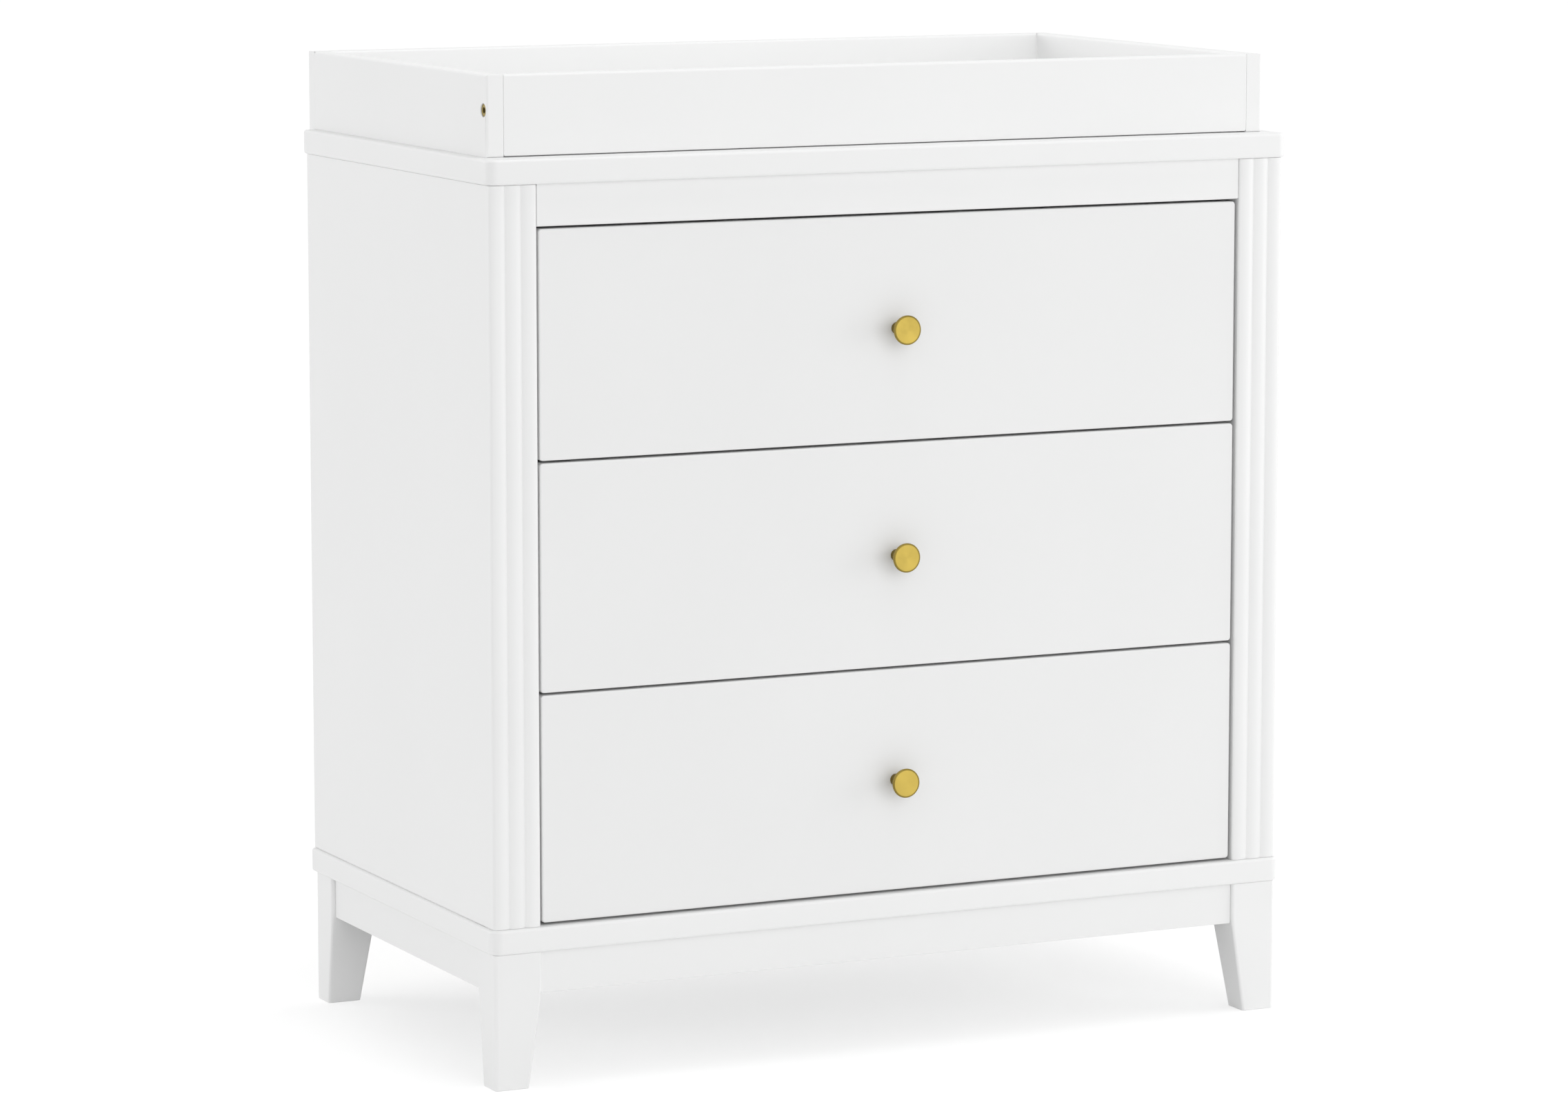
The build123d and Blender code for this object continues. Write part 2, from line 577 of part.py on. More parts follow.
def tray_fixings():
    """Right-hand bolts and barrel nuts, with the bores that take them."""
    end_inner = TRAY_HALF - BOARD
    front_inner = TRAY_FRONT + BOARD
    seats = [
        ((TRAY_HALF, TRAY_FRONT + BOARD / 2, TRAY_BOLT_Z), (-1, 0, 0)),
        ((TRAY_HALF - BOARD / 2, TRAY_BACK_FACE + BOARD, TRAY_BOLT_Z), (0, -1, 0)),
    ]
    mouths = [
        ((end_inner - TRAY_BOLT_REACH, front_inner, TRAY_BOLT_Z), (0, -1, 0)),
        ((end_inner, TRAY_BACK_FACE - TRAY_BOLT_REACH, TRAY_BOLT_Z), (1, 0, 0)),
    ]
    bolts = [tray_bolt(seat, inward) for seat, inward in seats]
    nuts, bores = [], []
    for bolt, (seat, inward), (mouth, into_board) in zip(bolts, seats, mouths):
        sink = rod(seat, inward, TRAY_BOLT_SINK + TRAY_BOLT_HEAD, TRAY_BOLT_HEAD_R)
        nut_bore = rod(mouth, into_board, TRAY_NUT_SINK + TRAY_NUT_LENGTH, TRAY_NUT_R)
        nut_face = Vector(*mouth) + Vector(*into_board) * TRAY_NUT_SINK
        nuts.append(rod(nut_face, into_board, TRAY_NUT_LENGTH, TRAY_NUT_R) - bolt)
        bores += [bolt, sink, nut_bore]
    return bolts, nuts, bores


def changing_tray():
    """Four boards round the changing pad, bolted at the corners; the back board hooks behind the top."""
    bolts, nuts, bores = tray_fixings()
    all_bores = bores + [on_side(bore, -1) for bore in bores]
    levels = (TABLE_TOP, TRAY_TOP)
    end_inner = TRAY_HALF - BOARD
    end = block((end_inner, TRAY_HALF), (TRAY_FRONT, TRAY_BACK_FACE), levels)
    end_edges = end.edges().filter_by(Axis.Y).sort_by(Axis.Z)[-2:]
    end_edges += end.edges().filter_by(Axis.Z).sort_by(Axis.Y)[:2].sort_by(Axis.X)[-1:]
    end = fillet(end_edges, TRAY_ARRIS_R)
    front = block((-end_inner, end_inner), (TRAY_FRONT, TRAY_FRONT + BOARD), levels)
    front = fillet(front.edges().filter_by(Axis.X).sort_by(Axis.Z)[-2:], TRAY_ARRIS_R)
    back_y = (TRAY_BACK_FACE, TRAY_BACK_FACE + BOARD)
    back_z = (TABLE_TOP - TRAY_BACK_DROP, TRAY_TOP)
    back = block((-TRAY_HALF, TRAY_HALF), back_y, back_z)
    back_edges = back.edges().filter_by(Axis.X) + back.edges().filter_by(Axis.Z).sort_by(Axis.Y)[-2:]
    back = fillet(back_edges, TRAY_ARRIS_R)
    return {
        "tray_left_end": on_side(end, -1) - all_bores,
        "tray_right_end": end - all_bores,
        "tray_front_board": front - all_bores,
        "tray_back_board": back - all_bores,
        "tray_bolts": both_sides(Compound(bolts)),
        "tray_barrel_nuts": both_sides(Compound(nuts)),
    }


def build():
    """Every node of the changing table by name."""
    nodes = carcass() | changing_tray()
    for index, name in enumerate(DRAWER_NAMES):
        nodes |= drawer(name, index)
    return nodes


os.makedirs("parts", exist_ok=True)
for node_name, shape in build().items():
    export_step(shape, f"parts/{node_name}.step")
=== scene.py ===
import logging
import math
from collections.abc import Sequence
from dataclasses import dataclass, field
from enum import Enum
from functools import cache

import bpy
import numpy as np
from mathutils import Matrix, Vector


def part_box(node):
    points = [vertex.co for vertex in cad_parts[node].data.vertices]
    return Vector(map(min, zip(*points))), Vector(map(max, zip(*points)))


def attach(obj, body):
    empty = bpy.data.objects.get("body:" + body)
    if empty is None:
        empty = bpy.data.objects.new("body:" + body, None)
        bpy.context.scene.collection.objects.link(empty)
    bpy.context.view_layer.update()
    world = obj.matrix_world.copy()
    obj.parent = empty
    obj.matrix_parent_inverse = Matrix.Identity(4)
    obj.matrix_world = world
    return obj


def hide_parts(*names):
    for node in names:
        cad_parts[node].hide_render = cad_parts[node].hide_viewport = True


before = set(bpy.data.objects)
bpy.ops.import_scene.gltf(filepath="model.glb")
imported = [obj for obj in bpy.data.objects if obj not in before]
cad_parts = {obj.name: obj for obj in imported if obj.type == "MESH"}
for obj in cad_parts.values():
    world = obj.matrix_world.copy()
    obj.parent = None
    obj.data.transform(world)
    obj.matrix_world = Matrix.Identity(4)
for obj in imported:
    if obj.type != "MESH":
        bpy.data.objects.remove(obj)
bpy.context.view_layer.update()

# Looks of a white changing table: a three-drawer dresser on tapered legs with a lift-off tray.
# Metres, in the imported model's own frame: X to the right, the drawers face -Y, Z up.

LOG = logging.getLogger("changing_table")
TRACE = "trace"
SIDES = {"left": -1, "right": 1}
DRAWERS = ("bottom", "middle", "top")
QUARTER = math.pi / 2

# Runs in a board's round edge, a small arc, a broad one, a bead, a seam and a prism's end rim.
ROUND_STEPS = 6
SMALL_STEPS = 4
BROAD_STEPS = 8
BEAD_STEPS = 12
SEAM_STEPS = 2
RIM_STEPS = 3
# Points round a turned piece, and their angles.
TURNED_STEPS = 48
ROUND = np.arange(TURNED_STEPS) * 2 * math.pi / TURNED_STEPS
# Circles in the wall of a hole.
HOLE_RINGS = 3

# Radii of a cut arris, of one that only closes a seam and of one beside a joint, and a joint's gap.
EASE = 0.0003
SEAM_EASE = 0.00002
JOINT_EASE = 0.0007
JOINT_GAP = 0.0003
# Points nearer to each other than this are one.
SAME_POINT = 0.000002

Pair = tuple[float, float]
Triple = tuple[float, float, float]
Colour = Triple


class Facing(Enum):
    """Which way a flat outline looks: the rows are its u, v and outward w directions."""

    UP = ((1, 0, 0), (0, 1, 0), (0, 0, 1))
    FRONT = ((1, 0, 0), (0, 0, 1), (0, -1, 0))
    BACK = ((-1, 0, 0), (0, 0, 1), (0, 1, 0))
    RIGHT = ((0, 1, 0), (0, 0, 1), (1, 0, 0))
    LEFT = ((0, -1, 0), (0, 0, 1), (-1, 0, 0))

    def place(self, uvw: np.ndarray) -> np.ndarray:
        """Points or directions given in u, v and w, in the object's own x, y and z."""
        return uvw @ np.array(self.value, float)

    def limits(self, node: str) -> np.ndarray:
        """Lowest and highest u, v and w of a CAD node, as two rows."""
        return np.sort(np.array(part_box(node)) @ np.array(self.value, float).T, axis=0)

    def middle(self, node: str) -> np.ndarray:
        """u, v and w of the middle of a CAD node's box."""
        return self.limits(node).mean(axis=0)


@dataclass(frozen=True)
class Skin:
    """A closed surface in numbers, before it becomes a mesh.

    points and normals have a row for each vertex and trace a number; corners lists the vertices of
    all faces one after another, and sizes says how many belong to each face.
    """

    points: np.ndarray
    normals: np.ndarray
    trace: np.ndarray
    corners: np.ndarray
    sizes: np.ndarray

    def flipped(self) -> "Skin":
        """The same surface with its faces turned round."""
        return Skin(self.points, self.normals, self.trace, self.corners[::-1], self.sizes[::-1])

    def mirrored(self, axis: int = 0) -> "Skin":
        """The mirror image across the plane where that axis is zero, faces still outwards."""
        sign = np.where(np.arange(3) == axis, -1.0, 1.0)
        return Skin(self.points * sign, self.normals * sign, self.trace, self.corners, self.sizes).flipped()

    def both(self) -> "Skin":
        """The surface and its mirror image across the middle, in one."""
        return joined([self, self.mirrored()])

    def on(self, facing: Facing) -> "Skin":
        """The surface taken from u, v and w into x, y and z."""
        return Skin(
            facing.place(self.points), facing.place(self.normals), self.trace, self.corners, self.sizes
        )

    def mesh(self, name: str) -> bpy.types.Mesh:
        """Puts the numbers into a Blender mesh, shaded smooth by the worked-out normals.

        Args:
            name: the mesh's name.
        Returns:
            The new mesh, with the trace kept as a point attribute.
        """
        mesh = bpy.data.meshes.new(name)
        mesh.vertices.add(len(self.points))
        mesh.vertices.foreach_set("co", self.points.astype(np.float32).ravel())
        mesh.loops.add(len(self.corners))
        mesh.loops.foreach_set("vertex_index", np.ascontiguousarray(self.corners, np.int32))
        mesh.polygons.add(len(self.sizes))
        starts = np.cumsum(self.sizes) - self.sizes
        mesh.polygons.foreach_set("loop_start", starts.astype(np.int32))
        mesh.polygons.foreach_set("use_smooth", np.ones(len(self.sizes), bool))
        trace = mesh.attributes.new(TRACE, "FLOAT", "POINT")
        trace.data.foreach_set("value", self.trace.astype(np.float32))
        mesh.update(calc_edges=True)
        mesh.normals_split_custom_set_from_vertices(self.normals.tolist())
        return mesh


def joined(skins: Sequence[Skin]) -> Skin:
    """One skin made of several.

    Args:
        skins: the separate surfaces.
    Returns:
        A skin that holds them all, each one's vertices counted on from those before it.
    """
    counts = np.array([len(skin.points) for skin in skins])
    shifts = np.cumsum(counts) - counts
    return Skin(
        np.concatenate([skin.points for skin in skins]),
        np.concatenate([skin.normals for skin in skins]),
        np.concatenate([skin.trace for skin in skins]),
        np.concatenate([skin.corners + shift for skin, shift in zip(skins, shifts)]),
        np.concatenate([skin.sizes for skin in skins]),
    )


def loft(
    rings: np.ndarray,
    normals: np.ndarray,
    trace: np.ndarray,
    first: Sequence[np.ndarray] | None = None,
    last: Sequence[np.ndarray] | None = None,
    endless: bool = False,
) -> Skin:
    """Skin over a stack of closed rings, each anticlockwise seen from where the stack ends.

    The face between ring i and ring i + 1 at point j joins (i, j), (i, j+1), (i+1, j+1) and (i+1, j).

    Args:
        rings: points by ring, place round the ring and axis.
        normals: outward directions in the same layout.
        trace: a number for each point, by ring and place.
        first: faces over the first ring, anticlockwise seen from the stack's end; None for one flat face.
        last: faces over the last ring; None for one flat face.
        endless: True joins the last ring to the first, with no end faces.
    Returns:
        The closed skin.
    """
    count, around = rings.shape[:2]
    index = np.arange(count * around).reshape(count, around)
    lower = index if endless else index[:-1]
    upper = np.roll(index, -1, axis=0) if endless else index[1:]
    quads = np.stack([lower, np.roll(lower, -1, 1), np.roll(upper, -1, 1), upper], axis=-1).reshape(-1, 4)
    faces: list[np.ndarray] = []
    if not endless:
        faces += [face[::-1] for face in ([index[0]] if first is None else first)]
        faces += [index[-1]] if last is None else list(last)
    return Skin(
        rings.reshape(-1, 3),
        normals.reshape(-1, 3),
        trace.reshape(-1),
        np.concatenate([quads.ravel(), *faces]),
        np.concatenate([np.full(len(quads), 4), [len(face) for face in faces]]).astype(int),
    )


@dataclass(frozen=True)
class Outline:
    """A flat line, anticlockwise round its solid, with the outward direction and trace of each point."""

    points: np.ndarray
    normals: np.ndarray
    trace: np.ndarray

    @classmethod
    def rounded(
        cls, corners: Sequence[Pair], radii: Sequence[float], steps: int = ROUND_STEPS, closed: bool = True
    ) -> "Outline":
        """Straight runs between corners, each corner an arc that touches both its runs.

        An arc of radius r begins r tan(turn / 2) before its corner. Its point at share s of the turn is
        its centre plus r times the first run's right-hand direction turned by s times the turn.

        Args:
            corners: the corners' u and v.
            radii: each corner's radius; an open line's two ends take none.
            steps: runs in each arc.
            closed: False leaves the line open, from the first corner to the last.
        Returns:
            The outline, whose trace is 1 in the middle of each arc and 0 on the runs.
        """
        turning, radius = np.asarray(corners, float), np.asarray(radii, float)
        into = turning - np.roll(turning, 1, axis=0)
        into /= np.linalg.norm(into, axis=1, keepdims=True)
        away = np.roll(into, -1, axis=0)
        turn = np.arctan2(into[:, 0] * away[:, 1] - into[:, 1] * away[:, 0], (into * away).sum(1))
        right = np.stack([into[:, 1], -into[:, 0]], axis=-1)
        share = np.linspace(0, 1, steps + 1)
        swept = turn[:, None] * share
        cosine, sine = np.cos(swept), np.sin(swept)
        u, v = right[:, :1], right[:, 1:]
        normals = np.stack([u * cosine - v * sine, u * sine + v * cosine], axis=-1)
        start = turning - into * (radius * np.tan(np.abs(turn) / 2))[:, None]
        hand = np.sign(turn) * radius
        points = (start - right * hand[:, None])[:, None] + normals * hand[:, None, None]
        trace = np.broadcast_to(np.sin(np.pi * share), swept.shape)
        if closed:
            return cls(points.reshape(-1, 2), normals.reshape(-1, 2), trace.reshape(-1))
        return cls(
            np.concatenate([turning[:1], points[1:-1].reshape(-1, 2), turning[-1:]]),
            np.concatenate([right[1:2], normals[1:-1].reshape(-1, 2), right[-1:]]),
            np.concatenate([[0], trace[1:-1].reshape(-1), [0]]),
        )

    @classmethod
    def arc(cls, centre: Pair, radius: float, start: float, end: float, steps: int = BEAD_STEPS) -> "Outline":
        """Part of a circle: centre plus radius times (cos a, sin a), hollow where the angle falls.

        Args:
            centre: the circle's middle.
            radius: its radius.
            start: first angle in radians.
            end: last angle, below start for a hollow stretch.
            steps: runs in the arc.
        Returns:
            The open stretch, with no trace.
        """
        angle = np.linspace(start, end, steps + 1)
        out = np.stack([np.cos(angle), np.sin(angle)], axis=-1)
        return cls(np.asarray(centre) + radius * out, out * np.sign(end - start), np.zeros(steps + 1))

    @classmethod
    def chained(cls, stretches: Sequence["Outline"]) -> "Outline":
        """Stretches that follow one another round a closed outline, each shared end kept once."""
        points = np.concatenate([stretch.points for stretch in stretches])
        kept = np.linalg.norm(points - np.roll(points, 1, axis=0), axis=1) > SAME_POINT
        normals = np.concatenate([stretch.normals for stretch in stretches])
        trace = np.concatenate([stretch.trace for stretch in stretches])
        return cls(points[kept], normals[kept], trace[kept])


def spread(low: float, high: float, count: int) -> np.ndarray:
    """The middles of equal parts of a stretch."""
    return low + (high - low) * (np.arange(count) + 0.5) / count


def rim_lean(steps: int) -> np.ndarray:
    """How far a surface leans towards its end faces, over both rims: -90 to 0, then 0 to 90 degrees."""
    quarter = np.linspace(0, QUARTER, steps + 1)
    return np.concatenate([-quarter[::-1], quarter])


def prism(outline: Outline, low: float, high: float, facing: Facing, rim: float = EASE) -> Skin:
    """An outline carried straight from low to high along w, with small round rims at both ends.

    At lean a the ring is the outline moved inwards by rim (1 - cos a), rim (1 - sin a) short of its end.

    Args:
        outline: the cross-section in u and v.
        low: where it starts along w.
        high: where it ends.
        facing: the directions of u, v and w.
        rim: radius of the end rims.
    Returns:
        The closed skin in x, y and z.
    """
    lean = rim_lean(RIM_STEPS)
    short = rim * (1 - np.abs(np.sin(lean)))
    level = np.where(np.arange(len(lean)) < len(lean) // 2, low + short, high - short)
    cosine, sine = np.cos(lean)[:, None, None], np.sin(lean)[:, None]
    flat = outline.points - outline.normals * rim * (1 - cosine)
    along = np.ones(len(outline.points))
    rings = np.concatenate([flat, (level[:, None] * along)[..., None]], axis=-1)
    normals = np.concatenate([cosine * outline.normals, (sine * along)[..., None]], axis=-1)
    return loft(rings, normals, np.repeat(outline.trace[None], len(lean), 0)).on(facing)


def bar(limits: np.ndarray, facing: Facing, radii: Sequence[float], rim: float = EASE) -> Skin:
    """A straight bar along w: a rectangle with a round corner for each long arris, carried as a prism.

    Args:
        limits: lowest and highest u, v and w.
        facing: the directions of u, v and w.
        radii: of the arrises at u- v-, u+ v-, u+ v+ and u- v+.
        rim: radius of the end rims.
    Returns:
        The closed skin in x, y and z.
    """
    (u0, v0, w0), (u1, v1, w1) = limits
    corners = [(u0, v0), (u1, v0), (u1, v1), (u0, v1)]
    return prism(Outline.rounded(corners, radii), w0, w1, facing, rim)


def spun(
    centre: Pair, radius: np.ndarray, height: np.ndarray, out: np.ndarray, up: np.ndarray, start: float = 0.0
) -> tuple[np.ndarray, np.ndarray]:
    """Circles round an axis: centre + radius (cos a, sin a) at a height, facing out (cos a, sin a) and up.

    Args:
        centre: u and v of the axis.
        radius: a row for each circle, by angle where it isn't even.
        height: w in the same layout.
        out: how far each point faces away from the axis.
        up: how far it faces along w.
        start: the first point's angle.
    Returns:
        The rings and their normals, as loft takes them.
    """
    cosine, sine, even = np.cos(ROUND + start), np.sin(ROUND + start), 0 * ROUND
    rings = np.stack([centre[0] + radius * cosine, centre[1] + radius * sine, height + even], axis=-1)
    return rings, np.stack([out * cosine, out * sine, up + even], axis=-1)


def turned(profile: Outline, centre: Pair, facing: Facing, endless: bool = False) -> Skin:
    """A profile of radius and height spun round w.

    Args:
        profile: radius and height, from the low end to the high end, the solid on its left.
        centre: u and v of the axis.
        facing: the directions of u, v and w.
        endless: True for a ring, whose profile closes on itself.
    Returns:
        The closed skin in x, y and z; its trace is the length run along the profile.
    """
    step = np.linalg.norm(np.diff(profile.points, axis=0), axis=1)
    trace = np.concatenate([[0], np.cumsum(step)])[:, None] + 0 * ROUND
    rings, normals = spun(centre, *np.hsplit(profile.points, 2), *np.hsplit(profile.normals, 2))
    return loft(rings, normals, trace, endless=endless).on(facing)


@dataclass(frozen=True)
class Rims:
    """Radii of the round edges of one face of a board, along its u-, u+, v- and v+ sides."""

    left: float = EASE
    right: float = EASE
    lower: float = EASE
    upper: float = EASE

    @classmethod
    def even(cls, radius: float) -> "Rims":
        """The same radius all round."""
        return cls(radius, radius, radius, radius)

    def along(self, side: np.ndarray, level: np.ndarray) -> np.ndarray:
        """Radii of the upright and of the level edge nearest to points, by their side and level."""
        upright, flat = np.where(side > 0, self.right, self.left), np.where(level > 0, self.upper, self.lower)
        return np.stack([upright, flat])


@dataclass(frozen=True)
class Hole:
    """A round blind hole in one face of a board, at u and v."""

    u: float
    v: float
    radius: float
    depth: float
    in_front: bool = True
    mouth_lean: float = 0.3

    def wall(self, level: float) -> Skin:
        """The hole's wall and floor: circles that go down from its eased mouth.

        Args:
            level: w of the face that the hole is in.
        Returns:
            The skin, whose first ring lies in the face, anticlockwise from its lowest point.
        """
        way = 1 if self.in_front else -1
        radius = self.radius + np.array([[EASE], [0], [0]])
        depth = np.array([[0], [EASE], [self.depth]])
        lean = np.array([[1.0], [self.mouth_lean], [0.0]])
        inward = -np.sqrt(1 - lean**2)
        rings, normals = spun((self.u, self.v), radius, level - way * depth, inward, way * lean, -QUARTER)
        wall = loft(rings, normals, np.zeros(rings.shape[:2]), first=[])
        return wall if self.in_front else wall.flipped()


@dataclass(frozen=True)
class Board:
    """A board with round corners in its face and a round edge of its own along each side of both faces.

    With lean a and a side's radius r, a ring is r (1 - cos a) inside that side and r (1 - sin a) below
    the face. Round a corner, at angle p, the two sides' values blend by cos^2 p and sin^2 p, and the
    corner's own radius shrinks by the inset. limits are the lowest and highest u, v and w; corners the
    radii at lower right, upper right, upper left and lower left.
    """

    limits: np.ndarray
    facing: Facing
    corners: tuple[float, float, float, float]
    front: Rims
    back: Rims
    holes: tuple[Hole, ...] = ()

    @property
    def ordered(self) -> list[Hole]:
        """The holes from left to right."""
        return sorted(self.holes, key=lambda hole: hole.u)

    def edge(self) -> np.ndarray:
        """The points round the face, anticlockwise from the lower side.

        Returns:
            Rows of angle, corner radius, side (-1 left, 1 right), level (-1 lower, 1 upper) and the fixed
            u of the points under and over each hole, which is not a number round the corners.
        """
        holes = np.array([hole.u for hole in self.ordered])
        quarter = np.linspace(0, QUARTER, ROUND_STEPS + 1)

        def run(level: int, places: np.ndarray) -> np.ndarray:
            """Points along the lower or upper side, at fixed places."""
            none = 0 * places
            return np.stack([level * QUARTER + none, none, none, level + none, places])

        def bend(turns: int, radius: float, side: int, level: int) -> np.ndarray:
            """Points round a corner, from that many quarter turns on."""
            none = 0 * quarter
            angle = turns * QUARTER + quarter
            return np.stack([angle, radius + none, side + none, level + none, none + np.nan])

        lower_right, upper_right, upper_left, lower_left = self.corners
        stretches = [run(-1, holes), bend(-1, lower_right, 1, -1), bend(0, upper_right, 1, 1)]
        stretches += [run(1, holes[::-1]), bend(1, upper_left, -1, 1), bend(2, lower_left, -1, -1)]
        return np.concatenate(stretches, axis=1)

    def faces(self, in_front: bool, first_vertex: int, ring: np.ndarray) -> list[np.ndarray] | None:
        """The flat face in pieces, cut from edge to edge through each of its holes.

        Args:
            in_front: True for the front face.
            first_vertex: number of the first hole's first vertex.
            ring: the vertices of the face's edge.
        Returns:
            One piece left of each hole and one right of the last, or None for a face without holes.
        """
        below = [place for place, hole in enumerate(self.ordered) if hole.in_front == in_front]
        if not below:
            return None
        over = 2 * (len(self.holes) + ROUND_STEPS) + 1
        above = [over - place for place in below]
        half = TURNED_STEPS // 2
        size = TURNED_STEPS * HOLE_RINGS
        cuts = [first_vertex + size * number + np.arange(TURNED_STEPS) for number in range(len(below))]
        rise = [np.append(cut[0], cut[: half - 1 : -1]) for cut in cuts]
        fall = [cut[half::-1] for cut in cuts]
        pieces = [np.concatenate([ring[above[0]:], ring[: below[0] + 1], rise[0]])]
        for i in range(1, len(cuts)):
            lower, upper = ring[below[i - 1] : below[i] + 1], ring[above[i] : above[i - 1] + 1]
            pieces.append(np.concatenate([lower, rise[i], upper, fall[i - 1]]))
        pieces.append(np.concatenate([ring[below[-1] : above[-1] + 1], fall[-1]]))
        return pieces

    def skin(self) -> Skin:
        """The closed surface in x, y and z; its trace is 1 along the middle of each round edge."""
        angle, radius, side, level, fixed = self.edge()
        lean = rim_lean(ROUND_STEPS)[:, None]
        is_front = np.arange(len(lean))[:, None] >= len(lean) // 2
        front, back = self.front.along(side, level), self.back.along(side, level)
        side_r, level_r = np.where(is_front, front[:, None], back[:, None])
        side_in, level_in = side_r * (1 - np.cos(lean)), level_r * (1 - np.cos(lean))
        reach_u = np.maximum(radius - side_in, SEAM_EASE)
        reach_v = np.maximum(radius - level_in, SEAM_EASE)
        (u0, v0, w0), (u1, v1, w1) = self.limits
        u = np.where(side > 0, u1 - side_in - reach_u, u0 + side_in + reach_u) + reach_u * np.cos(angle)
        u = np.where(np.isnan(fixed), u, fixed)
        v = np.where(level > 0, v1 - level_in, v0 + level_in) + reach_v * (np.sin(angle) - level)
        share = np.cos(angle) ** 2
        short = (share * side_r + (1 - share) * level_r) * (1 - np.abs(np.sin(lean)))
        rings = np.stack([u, v, np.where(is_front, w1 - short, w0 + short)], axis=-1)
        flat = np.cos(lean)
        normals = np.stack([flat * np.cos(angle), flat * np.sin(angle), np.sin(lean) + 0 * u], axis=-1)
        trace = np.abs(np.sin(2 * lean)) + 0 * u
        walls = [hole.wall(w0) for hole in self.ordered if not hole.in_front]
        back_points = sum(len(wall.points) for wall in walls)
        walls += [hole.wall(w1) for hole in self.ordered if hole.in_front]
        ring = np.arange(u.shape[1])
        first = self.faces(False, u.size, ring)
        last = self.faces(True, u.size + back_points, ring + u.size - u.shape[1])
        return joined([loft(rings, normals, trace, first, last), *walls]).on(self.facing)


@dataclass(frozen=True)
class Term:
    """A shader value that can stand in a sum, with the graph that its Math nodes go to."""

    graph: "Graph"
    socket: bpy.types.NodeSocket

    def __add__(self, other: "Term | float") -> "Term":
        """This value plus another."""
        return self.graph.maths("ADD", self, other)

    __radd__ = __add__

    def __sub__(self, other: "Term | float") -> "Term":
        """This value less another."""
        return self.graph.maths("SUBTRACT", self, other)

    def __rsub__(self, other: "Term | float") -> "Term":
        """Another value less this one."""
        return self.graph.maths("SUBTRACT", other, self)

    def __mul__(self, other: "Term | float") -> "Term":
        """This value times another."""
        return self.graph.maths("MULTIPLY", self, other)

    __rmul__ = __mul__

    def swing(self, width: float) -> "Term":
        """A noise as a swing of that width about zero."""
        return width * (self - 0.5)


Value = Term | float | Colour


@dataclass(frozen=True)
class Pattern:
    """Smooth noise between about 0 and 1: how fine it is, how many layers it has and how far it swirls."""

    scale: float
    detail: float = 2.0
    swirl: float = 0.0


class Graph:
    """The node tree of one material or world, filled through one method."""

    def __init__(self, tree: bpy.types.NodeTree) -> None:
        """Starts from an empty tree."""
        tree.nodes.clear()
        self.tree = tree

    def node(
        self, kind: str, sockets: dict[str | int, Value] | None = None, out: str | int = 0, **settings: object
    ) -> Term:
        """Adds a node.

        Args:
            kind: the node's type, without its ShaderNode prefix.
            sockets: values or links by socket name or number.
            out: which output to go on from.
            settings: its own settings, set first; stops fills a colour ramp with places and colours.
        Returns:
            The chosen output.
        """
        node = self.tree.nodes.new("ShaderNode" + kind)
        stops = settings.pop("stops", ())
        for name, value in settings.items():
            setattr(node, name, value)
        if stops:
            elements = node.color_ramp.elements
            while len(elements) < len(stops):
                elements.new(1.0)
            for element, (position, colour) in zip(elements, stops):
                element.position = position
                element.color = (*colour, 1.0)
        for name, value in (sockets or {}).items():
            socket = node.inputs[name]
            if isinstance(value, Term):
                self.tree.links.new(value.socket, socket)
            elif isinstance(value, tuple) and len(socket.default_value) == 4:
                socket.default_value = (*value, 1.0)
            else:
                socket.default_value = value
        return Term(self, node.outputs[out] if len(node.outputs) else None)

    def maths(self, operation: str, first: Term | float, second: Term | float = 0.0) -> Term:
        """A Math node on one or two values."""
        return self.node("Math", {0: first, 1: second}, operation=operation)

    def product(self, first: Term, second: Term | Triple) -> Term:
        """Two colours or vectors multiplied part by part."""
        return self.node("VectorMath", {0: first, 1: second}, operation="MULTIPLY")

    def blend(self, share: Term, first: Term | Colour, second: Term | Colour) -> Term:
        """A colour between two others: the first where share is 0, the second where it is 1."""
        return self.node("Mix", {"Factor": share, 6: first, 7: second}, 2, data_type="RGBA")

    def window(self, value: Term, span: Pair) -> Term:
        """0 below a span, 1 above it and straight between."""
        return self.node("MapRange", {0: value, 1: span[0], 2: span[1]})

    def place(self, stretch: Triple = (1.0, 1.0, 1.0)) -> Term:
        """Object coordinates in metres, each axis times its stretch."""
        return self.product(self.node("TexCoord", out="Object"), stretch)

    def noise(self, pattern: Pattern, where: Term) -> Term:
        """A pattern's noise at a place."""
        shape = {"Scale": pattern.scale, "Detail": pattern.detail, "Distortion": pattern.swirl}
        return self.node("TexNoise", {"Vector": where, **shape})

    def trace(self) -> Term:
        """The number that each piece's surface carries."""
        return self.node("Attribute", out="Fac", attribute_name=TRACE)

    def bump(self, height: Term, depth: float) -> Term:
        """A normal for relief of that depth in metres."""
        return self.node("Bump", {"Strength": 1.0, "Distance": depth, "Height": height})


def tinted(colour: Colour, share: float) -> Colour:
    """A colour times a share."""
    return tuple(part * share for part in colour)


@dataclass(frozen=True)
class Finish:
    """A surface finish: the record's material slot, a word for its pieces' names, colour and roughness.

    variant tells finishes of one slot apart.
    """

    slot: str
    word: str
    colour: Colour
    roughness: float
    variant: str = ""

    def sockets(self, graph: Graph) -> dict[str, Value]:
        """The Principled shader's values and links for this finish."""
        raise NotImplementedError


